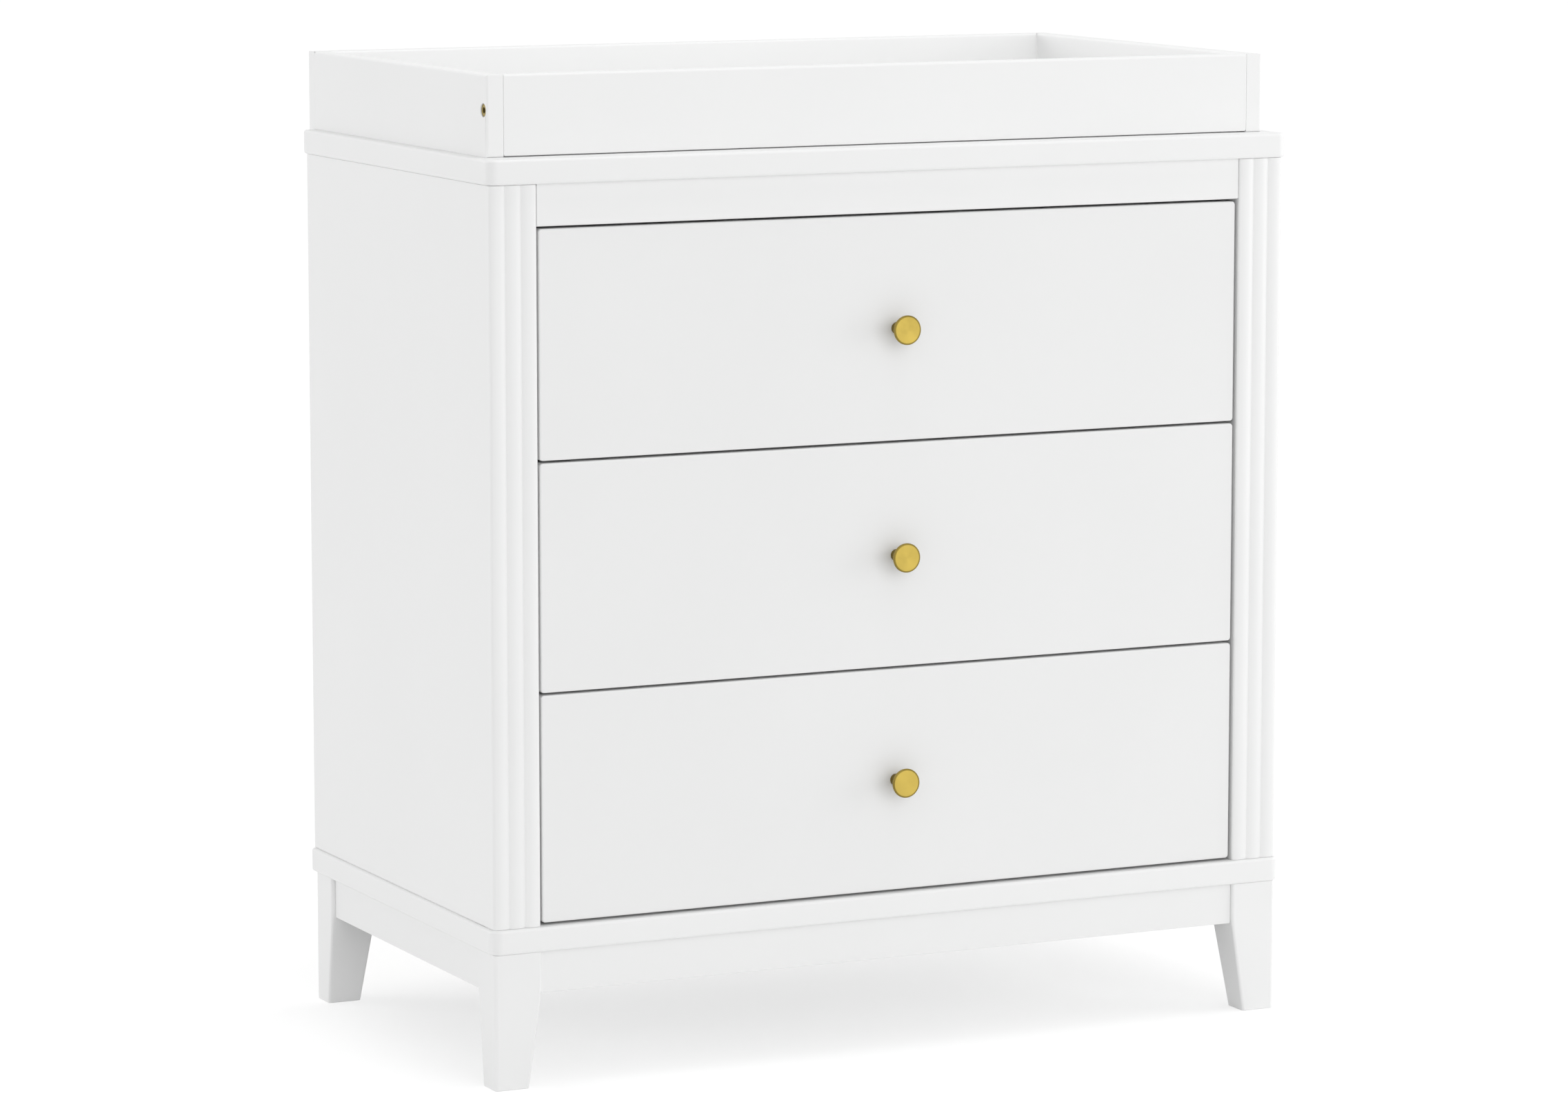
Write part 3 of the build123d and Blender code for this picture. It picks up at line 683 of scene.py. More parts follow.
@dataclass(frozen=True)
class SatinPaint(Finish):
    """Sprayed satin paint: faint clouding, a fine orange peel and slightly smoother arrises, with a painted
    highlight that makes them brighter.
    """

    slot: str = "white_paint"
    word: str = "painted"
    colour: Colour = (0.876, 0.878, 0.876)
    roughness: float = 0.40
    # painted highlight: the white that arrises take, brighter than the faces, as if they caught the light
    arris_painted_highlight: Colour = (0.905, 0.906, 0.905)
    arris_polish: float = 0.08
    cloud: Pattern = Pattern(5.0, 3.0)
    cloud_span: Pair = (0.3, 0.7)
    cloud_tint: float = 1.012
    cloud_swing: float = 0.10
    peel: Pattern = Pattern(620.0)
    peel_swing: float = 0.06
    peel_depth: float = 0.00002
    refraction: float = 1.47

    def sockets(self, graph: Graph) -> dict[str, Value]:
        """Clouded white, a painted highlight and lower roughness on arrises, and the peel as bump."""
        here, arris = graph.place(), graph.trace()
        cloud, peel = graph.noise(self.cloud, here), graph.noise(self.peel, here)
        stops = list(zip(self.cloud_span, (self.colour, tinted(self.colour, self.cloud_tint))))
        shade = graph.node("ValToRGB", {0: cloud}, stops=stops)
        uneven = cloud.swing(self.cloud_swing) + peel.swing(self.peel_swing)
        return {
            # painted highlight on the arrises, blended in along the trace
            "Base Color": graph.blend(arris, shade, self.arris_painted_highlight),
            "Roughness": self.roughness + uneven - self.arris_polish * arris,
            "Normal": graph.bump(peel, self.peel_depth),
            "IOR": self.refraction,
        }


class Grain(Enum):
    """The direction a board's grain runs in, as how fast its figure changes along each axis."""

    ACROSS = (0.06, 1.0, 1.0)
    DEEP = (1.0, 0.06, 1.0)


@dataclass(frozen=True)
class Birch(Finish):
    """Clear lacquered birch: long pale figure, fine pores along the grain and a soft sheen."""

    slot: str = "box_wood"
    word: str = "lacquered"
    colour: Colour = (0.74, 0.58, 0.40)
    roughness: float = 0.45
    grain: Grain = Grain.DEEP
    figure: Pattern = Pattern(42.0, 5.0, 0.8)
    figure_places: Triple = (0.35, 0.62, 0.70)
    late_colour: Colour = (0.62, 0.45, 0.28)
    pores: Pattern = Pattern(900.0)
    pore_span: Pair = (0.58, 0.72)
    pore_tint: float = 0.86
    pore_share: float = 0.5
    pore_swing: float = 0.15
    pore_depth: float = 0.00004

    def sockets(self, graph: Graph) -> dict[str, Value]:
        """Figure and pores stretched along the grain."""
        along = graph.place(self.grain.value)
        figure, pores = graph.noise(self.figure, along), graph.noise(self.pores, along)
        stops = list(zip(self.figure_places, (self.colour, self.late_colour, self.colour)))
        shade = graph.node("ValToRGB", {0: figure}, stops=stops)
        fleck = self.pore_share * graph.window(pores, self.pore_span)
        return {
            "Base Color": graph.blend(fleck, shade, tinted(self.late_colour, self.pore_tint)),
            "Roughness": self.roughness + pores.swing(self.pore_swing),
            "Normal": graph.bump(pores, self.pore_depth),
        }


@dataclass(frozen=True)
class SatinBrass(Finish):
    """Turned brass with a satin face: fine lathe lines that follow each piece's profile.

    The tones are places along the profile, in metres, each with the share of the colour kept there;
    lower shares are painted shade and painted dark reflection.
    """

    slot: str = "brass"
    word: str = "brass"
    colour: Colour = (0.56, 0.415, 0.095)
    roughness: float = 0.30
    painted_shade_tones: tuple[Pair, ...] = ((0.0, 1.0), (0.01, 1.0))
    tarnish: Pattern = Pattern(55.0, 3.0)
    tarnish_span: Pair = (0.45, 0.75)
    tarnish_tint: float = 0.84
    tarnish_swing: float = 0.08
    line_pitch: float = 0.00035
    line_depth: float = 0.000006
    line_swing: float = 0.03

    def sockets(self, graph: Graph) -> dict[str, Value]:
        """Metal whose roughness and relief ripple along the profile, with faint tarnish and painted shade
        from the tones.
        """
        run, tarnish = graph.trace(), graph.noise(self.tarnish, graph.place())
        ripple = graph.maths("SINE", run * (2 * math.pi / self.line_pitch))
        end = self.painted_shade_tones[-1][0]
        stops = [(place / end, (share, share, share)) for place, share in self.painted_shade_tones]
        # Painted shade: the colour is scaled down by place along the profile, darkest on the shaded stem,
        # socket and rims.
        painted_shade = graph.node("ValToRGB", {0: run * (1 / end)}, stops=stops)
        dulled = graph.window(tarnish, self.tarnish_span)
        shade = graph.blend(dulled, self.colour, tinted(self.colour, self.tarnish_tint))
        return {
            "Base Color": graph.product(shade, painted_shade),
            "Metallic": 1.0,
            "Roughness": self.roughness + tarnish.swing(self.tarnish_swing) + self.line_swing * ripple,
            "Normal": graph.bump(ripple, self.line_depth),
        }


@dataclass(frozen=True)
class Mottled(Finish):
    """A finish that one noise darkens, one dulls or polishes and one lifts.

    span is the part of the first noise that shows, tint how dark it gets and rubbing the second noise,
    where it isn't the first.
    """

    mottle: Pattern = field(kw_only=True)
    tint: float = field(kw_only=True)
    swing: float = field(kw_only=True)
    relief: Pattern = field(kw_only=True)
    depth: float = field(kw_only=True)
    span: Pair = (0.0, 1.0)
    rubbing: Pattern | None = None
    metallic: float = 0.0

    def sockets(self, graph: Graph) -> dict[str, Value]:
        """Colour, roughness and relief from their noises."""
        here = graph.place()
        share = graph.window(graph.noise(self.mottle, here), self.span)
        return {
            "Base Color": graph.blend(share, self.colour, tinted(self.colour, self.tint)),
            "Metallic": self.metallic,
            "Roughness": self.roughness + graph.noise(self.rubbing or self.mottle, here).swing(self.swing),
            "Normal": graph.bump(graph.noise(self.relief, here), self.depth),
        }


PAINT = SatinPaint()
# Painted shade: the drawer faces take a darker copy of the same white paint, to offset the stronger light on
# them; their arrises carry a painted highlight too.
FRONT_PAINT_SHADED = SatinPaint(variant="fronts_shaded", colour=(0.850, 0.852, 0.850), arris_painted_highlight=(0.88, 0.881, 0.88))
# Knob tones, painted shade and painted dark reflection: foot, stem and underside of the head at 0.40, the
# head's side wall lighter, its front arris dark again, the flat face at full colour.
KNOB_BRASS = SatinBrass(variant="knobs", painted_shade_tones=(
    (0.0, 0.40), (0.0344, 0.40), (0.0358, 0.62), (0.0372, 0.66),
    (0.0380, 0.40), (0.0392, 0.45), (0.0398, 1.0), (0.0540, 1.0),
))
# Bolt tones by radius, painted shade and painted dark reflection: the hexagon socket nearly black, the head's
# ring mid-dark, its outer rim darker.
BOLT_BRASS = SatinBrass(variant="bolts", painted_shade_tones=(
    (0.0, 0.08), (0.0030, 0.10), (0.0034, 0.50), (0.0046, 0.55), (0.0058, 0.40), (0.0065, 0.20),
))
# White-faced hardboard: an off-white film with faint specks of the fibres under it.
FIBRES = Pattern(260.0, 4.0, 1.5)
HARDBOARD = Mottled(
    "hardboard", "faced", (0.80, 0.80, 0.78), 0.55, mottle=FIBRES, span=(0.5, 0.75), tint=0.94,
    rubbing=Pattern(7.0), swing=0.12, relief=FIBRES, depth=0.00003,
)
# Bright zinc plating: cool grey metal with a mottled crystal sheen.
ZINC = Mottled(
    "zinc_steel", "zinc", (0.62, 0.63, 0.64), 0.34, mottle=Pattern(320.0, 3.0), tint=0.88, swing=0.2,
    relief=Pattern(900.0), depth=0.00001, metallic=1.0,
)
# White epoxy powder on sheet steel: a glossy, gently rippled coat, rubbed duller in patches.
COAT = Mottled(
    "coated_steel", "coated", (0.80, 0.80, 0.79), 0.28, mottle=Pattern(24.0, 3.0), tint=0.95, swing=0.16,
    relief=Pattern(380.0, 1.0), depth=0.00003,
)
# Moulded nylon: milky, matt, with fine flow marks.
FLOW = Pattern(150.0, 3.0, 1.0)
NYLON = Mottled(
    "nylon", "moulded", (0.82, 0.81, 0.77), 0.42, mottle=FLOW, tint=0.93, swing=0.15,
    relief=FLOW, depth=0.00002,
)
BIRCH_DEEP = Birch(variant="deep", grain=Grain.DEEP)
BIRCH_ACROSS = Birch(variant="across", grain=Grain.ACROSS)


@cache
def material_of(finish: Finish) -> bpy.types.Material:
    """The Blender material of a finish, made once.

    Args:
        finish: the finish to build.
    Returns:
        Its material.
    """
    material = bpy.data.materials.new(f"{finish.slot}_{finish.variant}".strip("_"))
    material.use_nodes = True
    graph = Graph(material.node_tree)
    graph.node("OutputMaterial", {"Surface": graph.node("BsdfPrincipled", finish.sockets(graph))})
    return material


@dataclass
class Assembly:
    """Pieces that move together on one CAD body."""

    body: str

    def add(self, skin: Skin, finish: Finish, *nodes: str, name: str = "") -> None:
        """Makes a piece from a skin, dresses it and lets it stand for CAD nodes.

        Args:
            skin: the piece's closed surface.
            finish: what it is finished with.
            nodes: the CAD nodes that it stands for.
            name: the piece's name; otherwise the first node's name with the finish's word.
        """
        name = name or f"{nodes[0]}_{finish.word}"
        piece = bpy.data.objects.new(name, skin.mesh(name))
        bpy.context.scene.collection.objects.link(piece)
        piece.data.materials.append(material_of(finish))
        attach(piece, self.body)
        if nodes:
            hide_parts(*nodes)
        LOG.info("%s: %d faces on %s", name, len(skin.sizes), self.body)

    def keep(self, finish: Finish, *nodes: str) -> None:
        """Dresses CAD nodes that stay as they are.

        Args:
            finish: what they are finished with.
            nodes: the nodes' names.
        """
        for node in nodes:
            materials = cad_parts[node].data.materials
            materials.clear()
            materials.append(material_of(finish))
            LOG.info("%s: kept on %s", node, self.body)

    def build(self) -> None:
        """Makes and dresses every piece."""
        raise NotImplementedError


@dataclass(frozen=True)
class ScrewHead:
    """A domed head with a cross recess, seen from outside; its shank is buried in the wood.

    Height over the seat at radius r and angle a: a dome that falls with r^2, less a recess where both r
    and the distance to the nearer of two crossed lines are small. rings are shares of the radius and outs
    how far each ring faces away from the axis; the dome, wall and cross are shares of radius and height.
    """

    radius: float
    height: float
    rings: tuple[float, ...] = (1.0, 1.0, 0.97, 0.86, 0.72, 0.62, 0.54, 0.44, 0.32, 0.20, 0.10)
    outs: tuple[float, ...] = (1.0, 0.9, 0.6, 0.38, 0.32, 0.28, 0.24, 0.2, 0.14, 0.09, 0.0)
    dome: float = 0.45
    wall: float = 0.4
    cross_reach: float = 0.66
    cross_end: float = 0.10
    cross_depth: float = 0.6
    cross_flank: float = 0.085
    cross_flanks: float = 2.4

    def skin(self, centre: Pair, seat: float, facing: Facing) -> Skin:
        """The head on a surface.

        Args:
            centre: u and v of the screw.
            seat: w of the surface that it sits on.
            facing: the directions of u, v and w.
        Returns:
            The closed skin in x, y and z.
        """
        share, out = np.array([self.rings, self.outs])[..., None]
        radius = share * self.radius + 0 * ROUND
        off_line = radius * np.minimum(np.abs(np.sin(ROUND)), np.abs(np.cos(ROUND)))
        across = np.clip(self.cross_flanks - off_line / (self.cross_flank * self.radius), 0, 1)
        within = np.clip((self.cross_reach - share) / self.cross_end, 0, 1)
        height = self.height * (1 - self.dome * share**2 - self.cross_depth * across * within)
        height[0] = 0
        height[1] = self.wall * self.height
        return loft(*spun(centre, radius, seat + height, out, np.sqrt(1 - out**2)), radius).on(facing)


@dataclass(frozen=True)
class SocketBolt:
    """A flat round bolt head with a hexagon socket.

    Inside the socket the radius at angle a is the hexagon's: its half width over cos(a - nearest flat).
    mouths, falls and outs belong to the socket's rings: shares of the hexagon and of the socket's depth,
    and how far each ring faces away from the axis.
    """

    radius: float = 0.0065
    height: float = 0.0040
    arris: float = 0.0006
    socket: float = 0.0030
    socket_depth: float = 0.0030
    mouths: tuple[float, ...] = (1.35, 1.08, 1.0, 1.0)
    falls: tuple[float, ...] = (0.0, 0.0, 0.15, 1.0)
    outs: tuple[float, ...] = (0.0, 0.0, -0.8, -1.0)

    def skin(self, centre: Pair, top: float, facing: Facing) -> Skin:
        """The head with its top at a level.

        Args:
            centre: u and v of the bolt.
            top: w of the head's face.
            facing: the directions of u, v and w.
        Returns:
            The closed skin in x, y and z.
        """
        sixth = math.pi / 3
        hexagon = self.socket * math.cos(sixth / 2) / np.cos((ROUND + sixth / 2) % sixth - sixth / 2)
        lean = np.linspace(0, QUARTER, RIM_STEPS + 1)[:, None]
        mouth, fall, out = np.array([self.mouths, self.falls, self.outs])[..., None]
        wall = self.radius - np.concatenate([[[0.0]], self.arris * (1 - np.cos(lean))])
        radius = np.concatenate([wall + 0 * ROUND, mouth * hexagon])
        down = np.concatenate([[[self.height]], self.arris * (1 - np.sin(lean)), self.socket_depth * fall])
        out = np.concatenate([[[1.0]], np.cos(lean), out])
        return loft(*spun(centre, radius, top - down, out, np.sqrt(1 - out**2)), radius).on(facing)


@dataclass(frozen=True)
class Runner:
    """A right-hand roller runner: a fixed channel on its cleat and a rail on the drawer, bent from sheet.

    Depths are measured from the cleat's face towards the drawer, and heights from the channel's floor.
    """

    sheet: float = 0.0012
    bend: float = 0.0016
    cut: float = 0.0003
    channel_height: float = 0.0212
    floor: float = 0.0098
    lip: float = 0.0060
    space: float = 0.0127
    wrap: float = 0.0075
    web_drop: float = 0.0032
    web_height: float = 0.0310
    flange_from: float = 0.0066
    flange_level: float = 0.0210
    stop_span: Pair = (-0.1340, -0.1320)
    stop_drop: float = 0.0060
    stop_corner: float = 0.0012
    pin_radius: float = 0.0025
    collar_radius: float = 0.0036
    pin_head: float = 0.0006
    pin_round: float = 0.00042
    pin_play: float = 0.0001
    wheel_width: float = 0.0044
    bore: float = 0.00255
    hub: float = 0.0046
    tyre: float = 0.0080
    web_sink: float = 0.0007
    wheel_arris: float = 0.0006

    @property
    def face(self) -> float:
        """x of the cleats' faces."""
        return Facing.UP.limits("cabinet_rails")[1][0]

    def level(self, drawer: str) -> float:
        """Height of the channel floor beside a drawer."""
        return Facing.UP.limits(f"{drawer}_drawer_rails")[0][2] + self.web_drop

    def bent(self, corners: Sequence[Pair], radii: Sequence[float], level: float, node: str) -> Skin:
        """Sheet of that cross-section, carried from the front to the back of a node.

        Args:
            corners: depth and height of the section's corners.
            radii: their radii.
            level: height of the channel's floor.
            node: the CAD node that gives front and back.
        Returns:
            The closed skin.
        """
        (_, _, low), (_, _, high) = Facing.BACK.limits(node)
        places = np.array(corners) + [-self.face, level]
        return prism(Outline.rounded(places, radii, SMALL_STEPS), low, high, Facing.BACK, self.cut)

    def pin(self, wheels: str, root: float, near: float, facing: Facing) -> Skin:
        """A riveted pin through a wheel: a collar, a slimmer journal and a round head, turned about its axis.

        Args:
            wheels: the CAD node of the pair of wheels.
            root: w where the pin leaves its rail.
            near: w of the wheel's nearer face.
            facing: the directions of u, v and w.
        Returns:
            The closed skin.
        """
        shoulder, neck = near - self.pin_play, near + self.wheel_width + self.pin_play
        tip = neck + self.pin_head
        core, collar, journal = self.cut, self.collar_radius, self.pin_radius
        corners = [
            (core, root), (collar, root), (collar, shoulder), (journal, shoulder),
            (journal, neck), (collar, neck), (collar, tip), (core, tip),
        ]
        radii = [0, *[self.cut / 2] * 5, self.pin_round, 0]
        profile = Outline.rounded(corners, radii, SMALL_STEPS, closed=False)
        return turned(profile, facing.middle(wheels)[:2], facing)

    def wheel(self, node: str) -> Skin:
        """A moulded wheel, a ring whose section has a hub, a sunk web and a tyre with round arrises.

        Args:
            node: the CAD node of a pair of wheels.
        Returns:
            The closed skin of the right-hand one.
        """
        (u0, _, _), (u1, _, high) = Facing.RIGHT.limits(node)
        low, rim, sink = high - self.wheel_width, (u1 - u0) / 2, self.web_sink
        half = [
            (self.bore, low), (self.hub, low), (self.hub, low + sink),
            (self.tyre, low + sink), (self.tyre, low), (rim, low),
        ]
        corners = half + [(radius, low + high - level) for radius, level in reversed(half)]
        arris, edge = self.wheel_arris, self.cut / 2
        radii = [edge] * 5 + [arris] * 2 + [edge] * 5
        centre = Facing.RIGHT.middle(node)[:2]
        return turned(Outline.rounded(corners, radii, SMALL_STEPS), centre, Facing.RIGHT, endless=True)

    def channel(self, drawer: str) -> Skin:
        """The fixed rail beside a drawer, with its stop tab and the pin of the front wheel."""
        level, wheels = self.level(drawer), f"{drawer}_cabinet_rollers"
        low, high, inner = -self.sheet, self.channel_height + self.sheet, self.bend - self.sheet
        corners = [
            (0, low), (self.floor, low), (self.floor, 0), (self.sheet, 0),
            (self.sheet, self.channel_height), (self.lip, self.channel_height), (self.lip, high), (0, high),
        ]
        radii = [self.bend, self.cut, self.cut, inner, inner, self.cut, self.cut, self.bend]
        rail = self.bent(corners, radii, level, "cabinet_rails")
        roof = level + self.channel_height
        tab = np.array([
            [self.sheet - self.face, roof - self.stop_drop, self.stop_span[0]],
            [self.lip - self.face, roof + self.sheet / 2, self.stop_span[1]],
        ])
        rims = Rims.even(self.cut)
        stop = Board(tab, Facing.BACK, (self.stop_corner, *[self.cut] * 3), rims, rims).skin()
        near = -Facing.RIGHT.limits(wheels)[1][2]
        return joined([rail, stop, self.pin(wheels, self.sheet - self.face, near, Facing.LEFT)])

    def rail(self, drawer: str) -> Skin:
        """The rail under a drawer's side, with the pin of its rear wheel."""
        level, wheels = self.level(drawer), f"{drawer}_drawer_rollers"
        web, low, inner = self.space - self.sheet, -self.web_drop, self.bend - self.sheet
        under, over = self.flange_level, self.flange_level + self.sheet
        corners = [
            (web, low), (self.space + self.wrap, low), (self.space + self.wrap, low + self.sheet),
            (self.space, low + self.sheet), (self.space, low + self.web_height), (web, low + self.web_height),
            (web, over), (self.flange_from, over), (self.flange_from, under), (web, under),
        ]
        cut = self.cut
        radii = [self.bend, cut, cut, inner, cut, cut, inner, cut, cut, inner]
        rail = self.bent(corners, radii, level, f"{drawer}_drawer_rails")
        near = Facing.RIGHT.limits(wheels)[1][2] - self.wheel_width
        return joined([rail, self.pin(wheels, self.face - web, near, Facing.RIGHT)])


@dataclass
class Carcass(Assembly):
    """Slabs, beaded posts, sides, rails, legs, aprons, back and the fixed halves of the runners."""

    body: str = "carcass"
    slab_corners: Pair = (0.012, 0.004)
    slab_edge: float = 0.003
    beads: int = 3
    bead_rise: float = 0.0025
    outer_corner: float = 0.004
    inner_corner: float = 0.003
    valley: float = 0.0006
    rebate: Pair = (0.012, 0.004)
    rear_arris: float = 0.0012
    rail_arris: float = 0.002
    rail_gap: float = 0.0004
    rail_proud: float = 0.005
    apron_arris: float = 0.0006
    leg_arrises: tuple[float, float, float, float] = (0.004, 0.003, 0.003, 0.003)
    foot_size: Pair = (0.037, 0.032)
    foot_arris: float = 0.001
    bend: float = 0.150
    bend_rings: int = 13
    screw: ScrewHead = ScrewHead(0.0036, 0.0020)
    screw_edge: float = 0.006
    screw_rows: int = 5
    screw_columns: int = 4
    runner: Runner = Runner()
    rail_screw: ScrewHead = ScrewHead(0.0036, 0.0008)
    rail_screw_pitch: float = 0.143
    rail_screw_raise: float = 0.0102

    def build(self) -> None:
        """Makes the carcass from the feet up."""
        for node in ("base_panel", "top_panel"):
            self.add(self.slab(node), PAINT, node)
        post, side = self.post(), self.side()
        for name, sign in SIDES.items():
            self.add(post if sign > 0 else post.mirrored(), PAINT, f"{name}_pilaster")
            self.add(side if sign > 0 else side.mirrored(), PAINT, f"{name}_side_panel")
        self.add(self.rail(), PAINT, "front_top_rail")
        leg = self.leg()
        for node in ("front_left_leg", "front_right_leg", "rear_left_leg", "rear_right_leg"):
            skin = leg.mirrored(0) if "right" in node else leg
            self.add(skin.mirrored(1) if "rear" in node else skin, PAINT, node)
        for node, facing in (("front_apron", Facing.RIGHT), ("rear_apron", Facing.RIGHT),
                             ("left_apron", Facing.BACK), ("right_apron", Facing.BACK)):
            self.add(self.apron(node, facing), PAINT, node)
        self.add(self.back_screws(), ZINC, "back_panel_screws")
        self.keep(HARDBOARD, "back_panel")
        self.keep(PAINT, "rear_top_rail")
        self.keep(ZINC, "leg_corner_brackets", "leg_bolts")
        self.keep(BIRCH_DEEP, "left_runner_cleats", "right_runner_cleats")
        channels = joined([self.runner.channel(drawer) for drawer in DRAWERS])
        self.add(channels.both(), COAT, "cabinet_rails")
        self.add(self.rail_screws(), ZINC, "rail_screws")

    def slab(self, node: str) -> Skin:
        """A slab with round corners in plan and round upper and lower arrises."""
        rims = Rims.even(self.slab_edge)
        front, rear = self.slab_corners
        return Board(Facing.UP.limits(node), Facing.UP, (front, rear, rear, front), rims, rims).skin()

    def post(self) -> Skin:
        """The right-hand post: equal beads between an eased inner corner and a rounder outer one.

        A bead is an arc whose chord is its width and whose height is its rise. Between two beads a small
        hollow arc touches both: its centre is as far from each bead's centre as their radii together. A
        corner is an arc that touches the post's side and, from inside, its bead.

        Returns:
            The closed skin.
        """
        (x0, y0, z0), (x1, y1, z1) = Facing.UP.limits("right_pilaster")
        half, rise = (x1 - x0) / self.beads / 2, self.bead_rise
        radius = (half**2 + rise**2) / (2 * rise)
        level = y0 + radius
        lean = math.asin(half / (radius + self.valley))
        hollow = level - (radius + self.valley) * math.cos(lean)
        turns = [math.asin((half - r) / (radius - r)) for r in (self.inner_corner, self.outer_corner)]
        inner = (x0 + self.inner_corner, level - (radius - self.inner_corner) * math.cos(turns[0]))
        outer = (x1 - self.outer_corner, level - (radius - self.outer_corner) * math.cos(turns[1]))
        stretches = [Outline.arc(inner, self.inner_corner, -math.pi, -QUARTER - turns[0], SMALL_STEPS)]
        starts = [turns[0]] + [lean] * (self.beads - 1)
        ends = [lean] * (self.beads - 1) + [turns[1]]
        for place, (start, end) in enumerate(zip(starts, ends)):
            middle = x0 + half * (2 * place + 1)
            stretches.append(Outline.arc((middle, level), radius, -QUARTER - start, -QUARTER + end))
            if place < self.beads - 1:
                valley = (middle + half, hollow)
                turn = (QUARTER + lean, QUARTER - lean)
                stretches.append(Outline.arc(valley, self.valley, *turn, SMALL_STEPS))
        stretches.append(Outline.arc(outer, self.outer_corner, -QUARTER + turns[1], 0, BROAD_STEPS))
        for x, start in ((x1 - SEAM_EASE, 0.0), (x0 + SEAM_EASE, QUARTER)):
            seam = (x, y1 - SEAM_EASE)
            stretches.append(Outline.arc(seam, SEAM_EASE, start, start + QUARTER, SEAM_STEPS))
        return prism(Outline.chained(stretches), z0, z1 - JOINT_GAP, Facing.UP, JOINT_EASE)

    def side(self) -> Skin:
        """The right-hand side: a tall board, rebated behind, flush with its post."""
        (x0, y0, z0), (x1, y1, z1) = Facing.UP.limits("right_side_panel")
        across, deep = self.rebate
        corners = [(x0, y0), (x1, y0), (x1, y1), (x0 + across, y1), (x0 + across, y1 - deep), (x0, y1 - deep)]
        radii = [SEAM_EASE, SEAM_EASE, self.rear_arris, EASE, EASE, EASE]
        return prism(Outline.rounded(corners, radii), z0, z1 - JOINT_GAP, Facing.UP, JOINT_EASE)

    def rail(self) -> Skin:
        """The rail over the top drawer, proud of its CAD node, its lower front arris round."""
        limits = Facing.RIGHT.limits("front_top_rail")
        limits += [[-self.rail_proud, 0, self.rail_gap], [0, 0, -self.rail_gap]]
        return bar(limits, Facing.RIGHT, (self.rail_arris, EASE, EASE, EASE), JOINT_EASE)

    def apron(self, node: str, facing: Facing) -> Skin:
        """A board between two legs along a facing's w, its two lower arrises round."""
        radii = (self.apron_arris, self.apron_arris, JOINT_EASE, JOINT_EASE)
        return bar(facing.limits(node), facing, radii, JOINT_EASE)

    def leg(self) -> Skin:
        """The front-left leg: round-cornered rectangles from the foot up.

        Each inner side leaves the foot on a straight slope, bends on an arc below the slab and ends
        upright; with slope m under the apron's lower edge the arc reaches bend tan(atan(m) / 2) to both
        sides of it. A ring's two inner sides move out by the growth of width and depth at its height.

        Returns:
            The closed skin.
        """
        (x0, y0, z0), (x1, y1, z1) = Facing.UP.limits("front_left_leg")
        z1 -= JOINT_GAP
        elbow = Facing.UP.limits("front_apron")[0][2]
        foot = np.array(self.foot_size)
        full = np.array([x1 - x0, y1 - y0])
        slope = (full - foot) / (elbow - z0)
        reach = self.bend * np.tan(np.arctan(slope) / 2)
        lean = rim_lean(ROUND_STEPS)[:, None]
        half = len(lean) // 2
        arris = np.where(np.arange(len(lean))[:, None] < half, self.foot_arris, JOINT_EASE)
        rim, short = arris * (1 - np.cos(lean)), arris * (1 - np.abs(np.sin(lean)))
        middle = np.linspace(elbow - reach.max(), elbow + reach.max(), self.bend_rings)[:, None]
        height = np.concatenate([z0 + short[:half], middle, z1 - short[half:]])
        inset = np.concatenate([rim[:half], 0 * middle, rim[half:]])
        tip = np.concatenate([lean[:half], 0 * middle, lean[half:]])
        straight_to = elbow - reach * np.cos(np.arctan(slope))
        above = np.clip(height - (elbow + reach), straight_to - (elbow + reach), 0)
        across = np.sqrt(self.bend**2 - above**2)
        straight = foot + slope * (height - z0)
        size = np.where(height < straight_to, straight, full - self.bend + across)
        tilt = np.where(height < straight_to, slope, -above / across)
        plan = Outline.rounded([(0, 0), (foot[0], 0), tuple(foot), (0, foot[1])], self.leg_arrises)
        moves = np.repeat([[0, 0], [1, 0], [1, 1], [0, 1]], ROUND_STEPS + 1, axis=0)
        flat = plan.points + moves * (size - foot)[:, None, :] - plan.normals * inset[:, :, None]
        rise = (np.maximum(plan.normals, 0) * moves * tilt[:, None, :]).sum(-1)
        up = np.sin(tip) - rise * np.cos(tip)
        normals = np.concatenate([np.cos(tip)[..., None] * plan.normals, up[..., None]], axis=-1)
        normals /= np.linalg.norm(normals, axis=-1, keepdims=True)
        rings = np.concatenate([flat + [x0, y0], (height + 0 * rise)[..., None]], axis=-1)
        return loft(rings, normals, plan.trace + 0 * rise)

    def back_screws(self) -> Skin:
        """Screw heads up both sides of the back panel and along the rear rail."""
        (_, v0, _), (_, v1, seat) = Facing.BACK.limits("back_panel")
        (u0, low, _), (u1, high, _) = Facing.BACK.limits("rear_top_rail")
        rows, columns = spread(v0, v1, self.screw_rows), spread(u0, u1, self.screw_columns)
        places = [(u, v) for u in (u0 - self.screw_edge, u1 + self.screw_edge) for v in rows]
        places += [(u, (low + high) / 2) for u in columns]
        return joined([self.screw.skin(place, seat, Facing.BACK) for place in places])

    def rail_screws(self) -> Skin:
        """Screw heads along the web of each fixed rail."""
        seat = self.runner.sheet - self.runner.face
        heights = [self.runner.level(drawer) + self.rail_screw_raise for drawer in DRAWERS]
        steps = (-self.rail_screw_pitch, 0.0, self.rail_screw_pitch)
        heads = [self.rail_screw.skin((u, v), seat, Facing.LEFT) for u in steps for v in heights]
        return joined(heads).both()


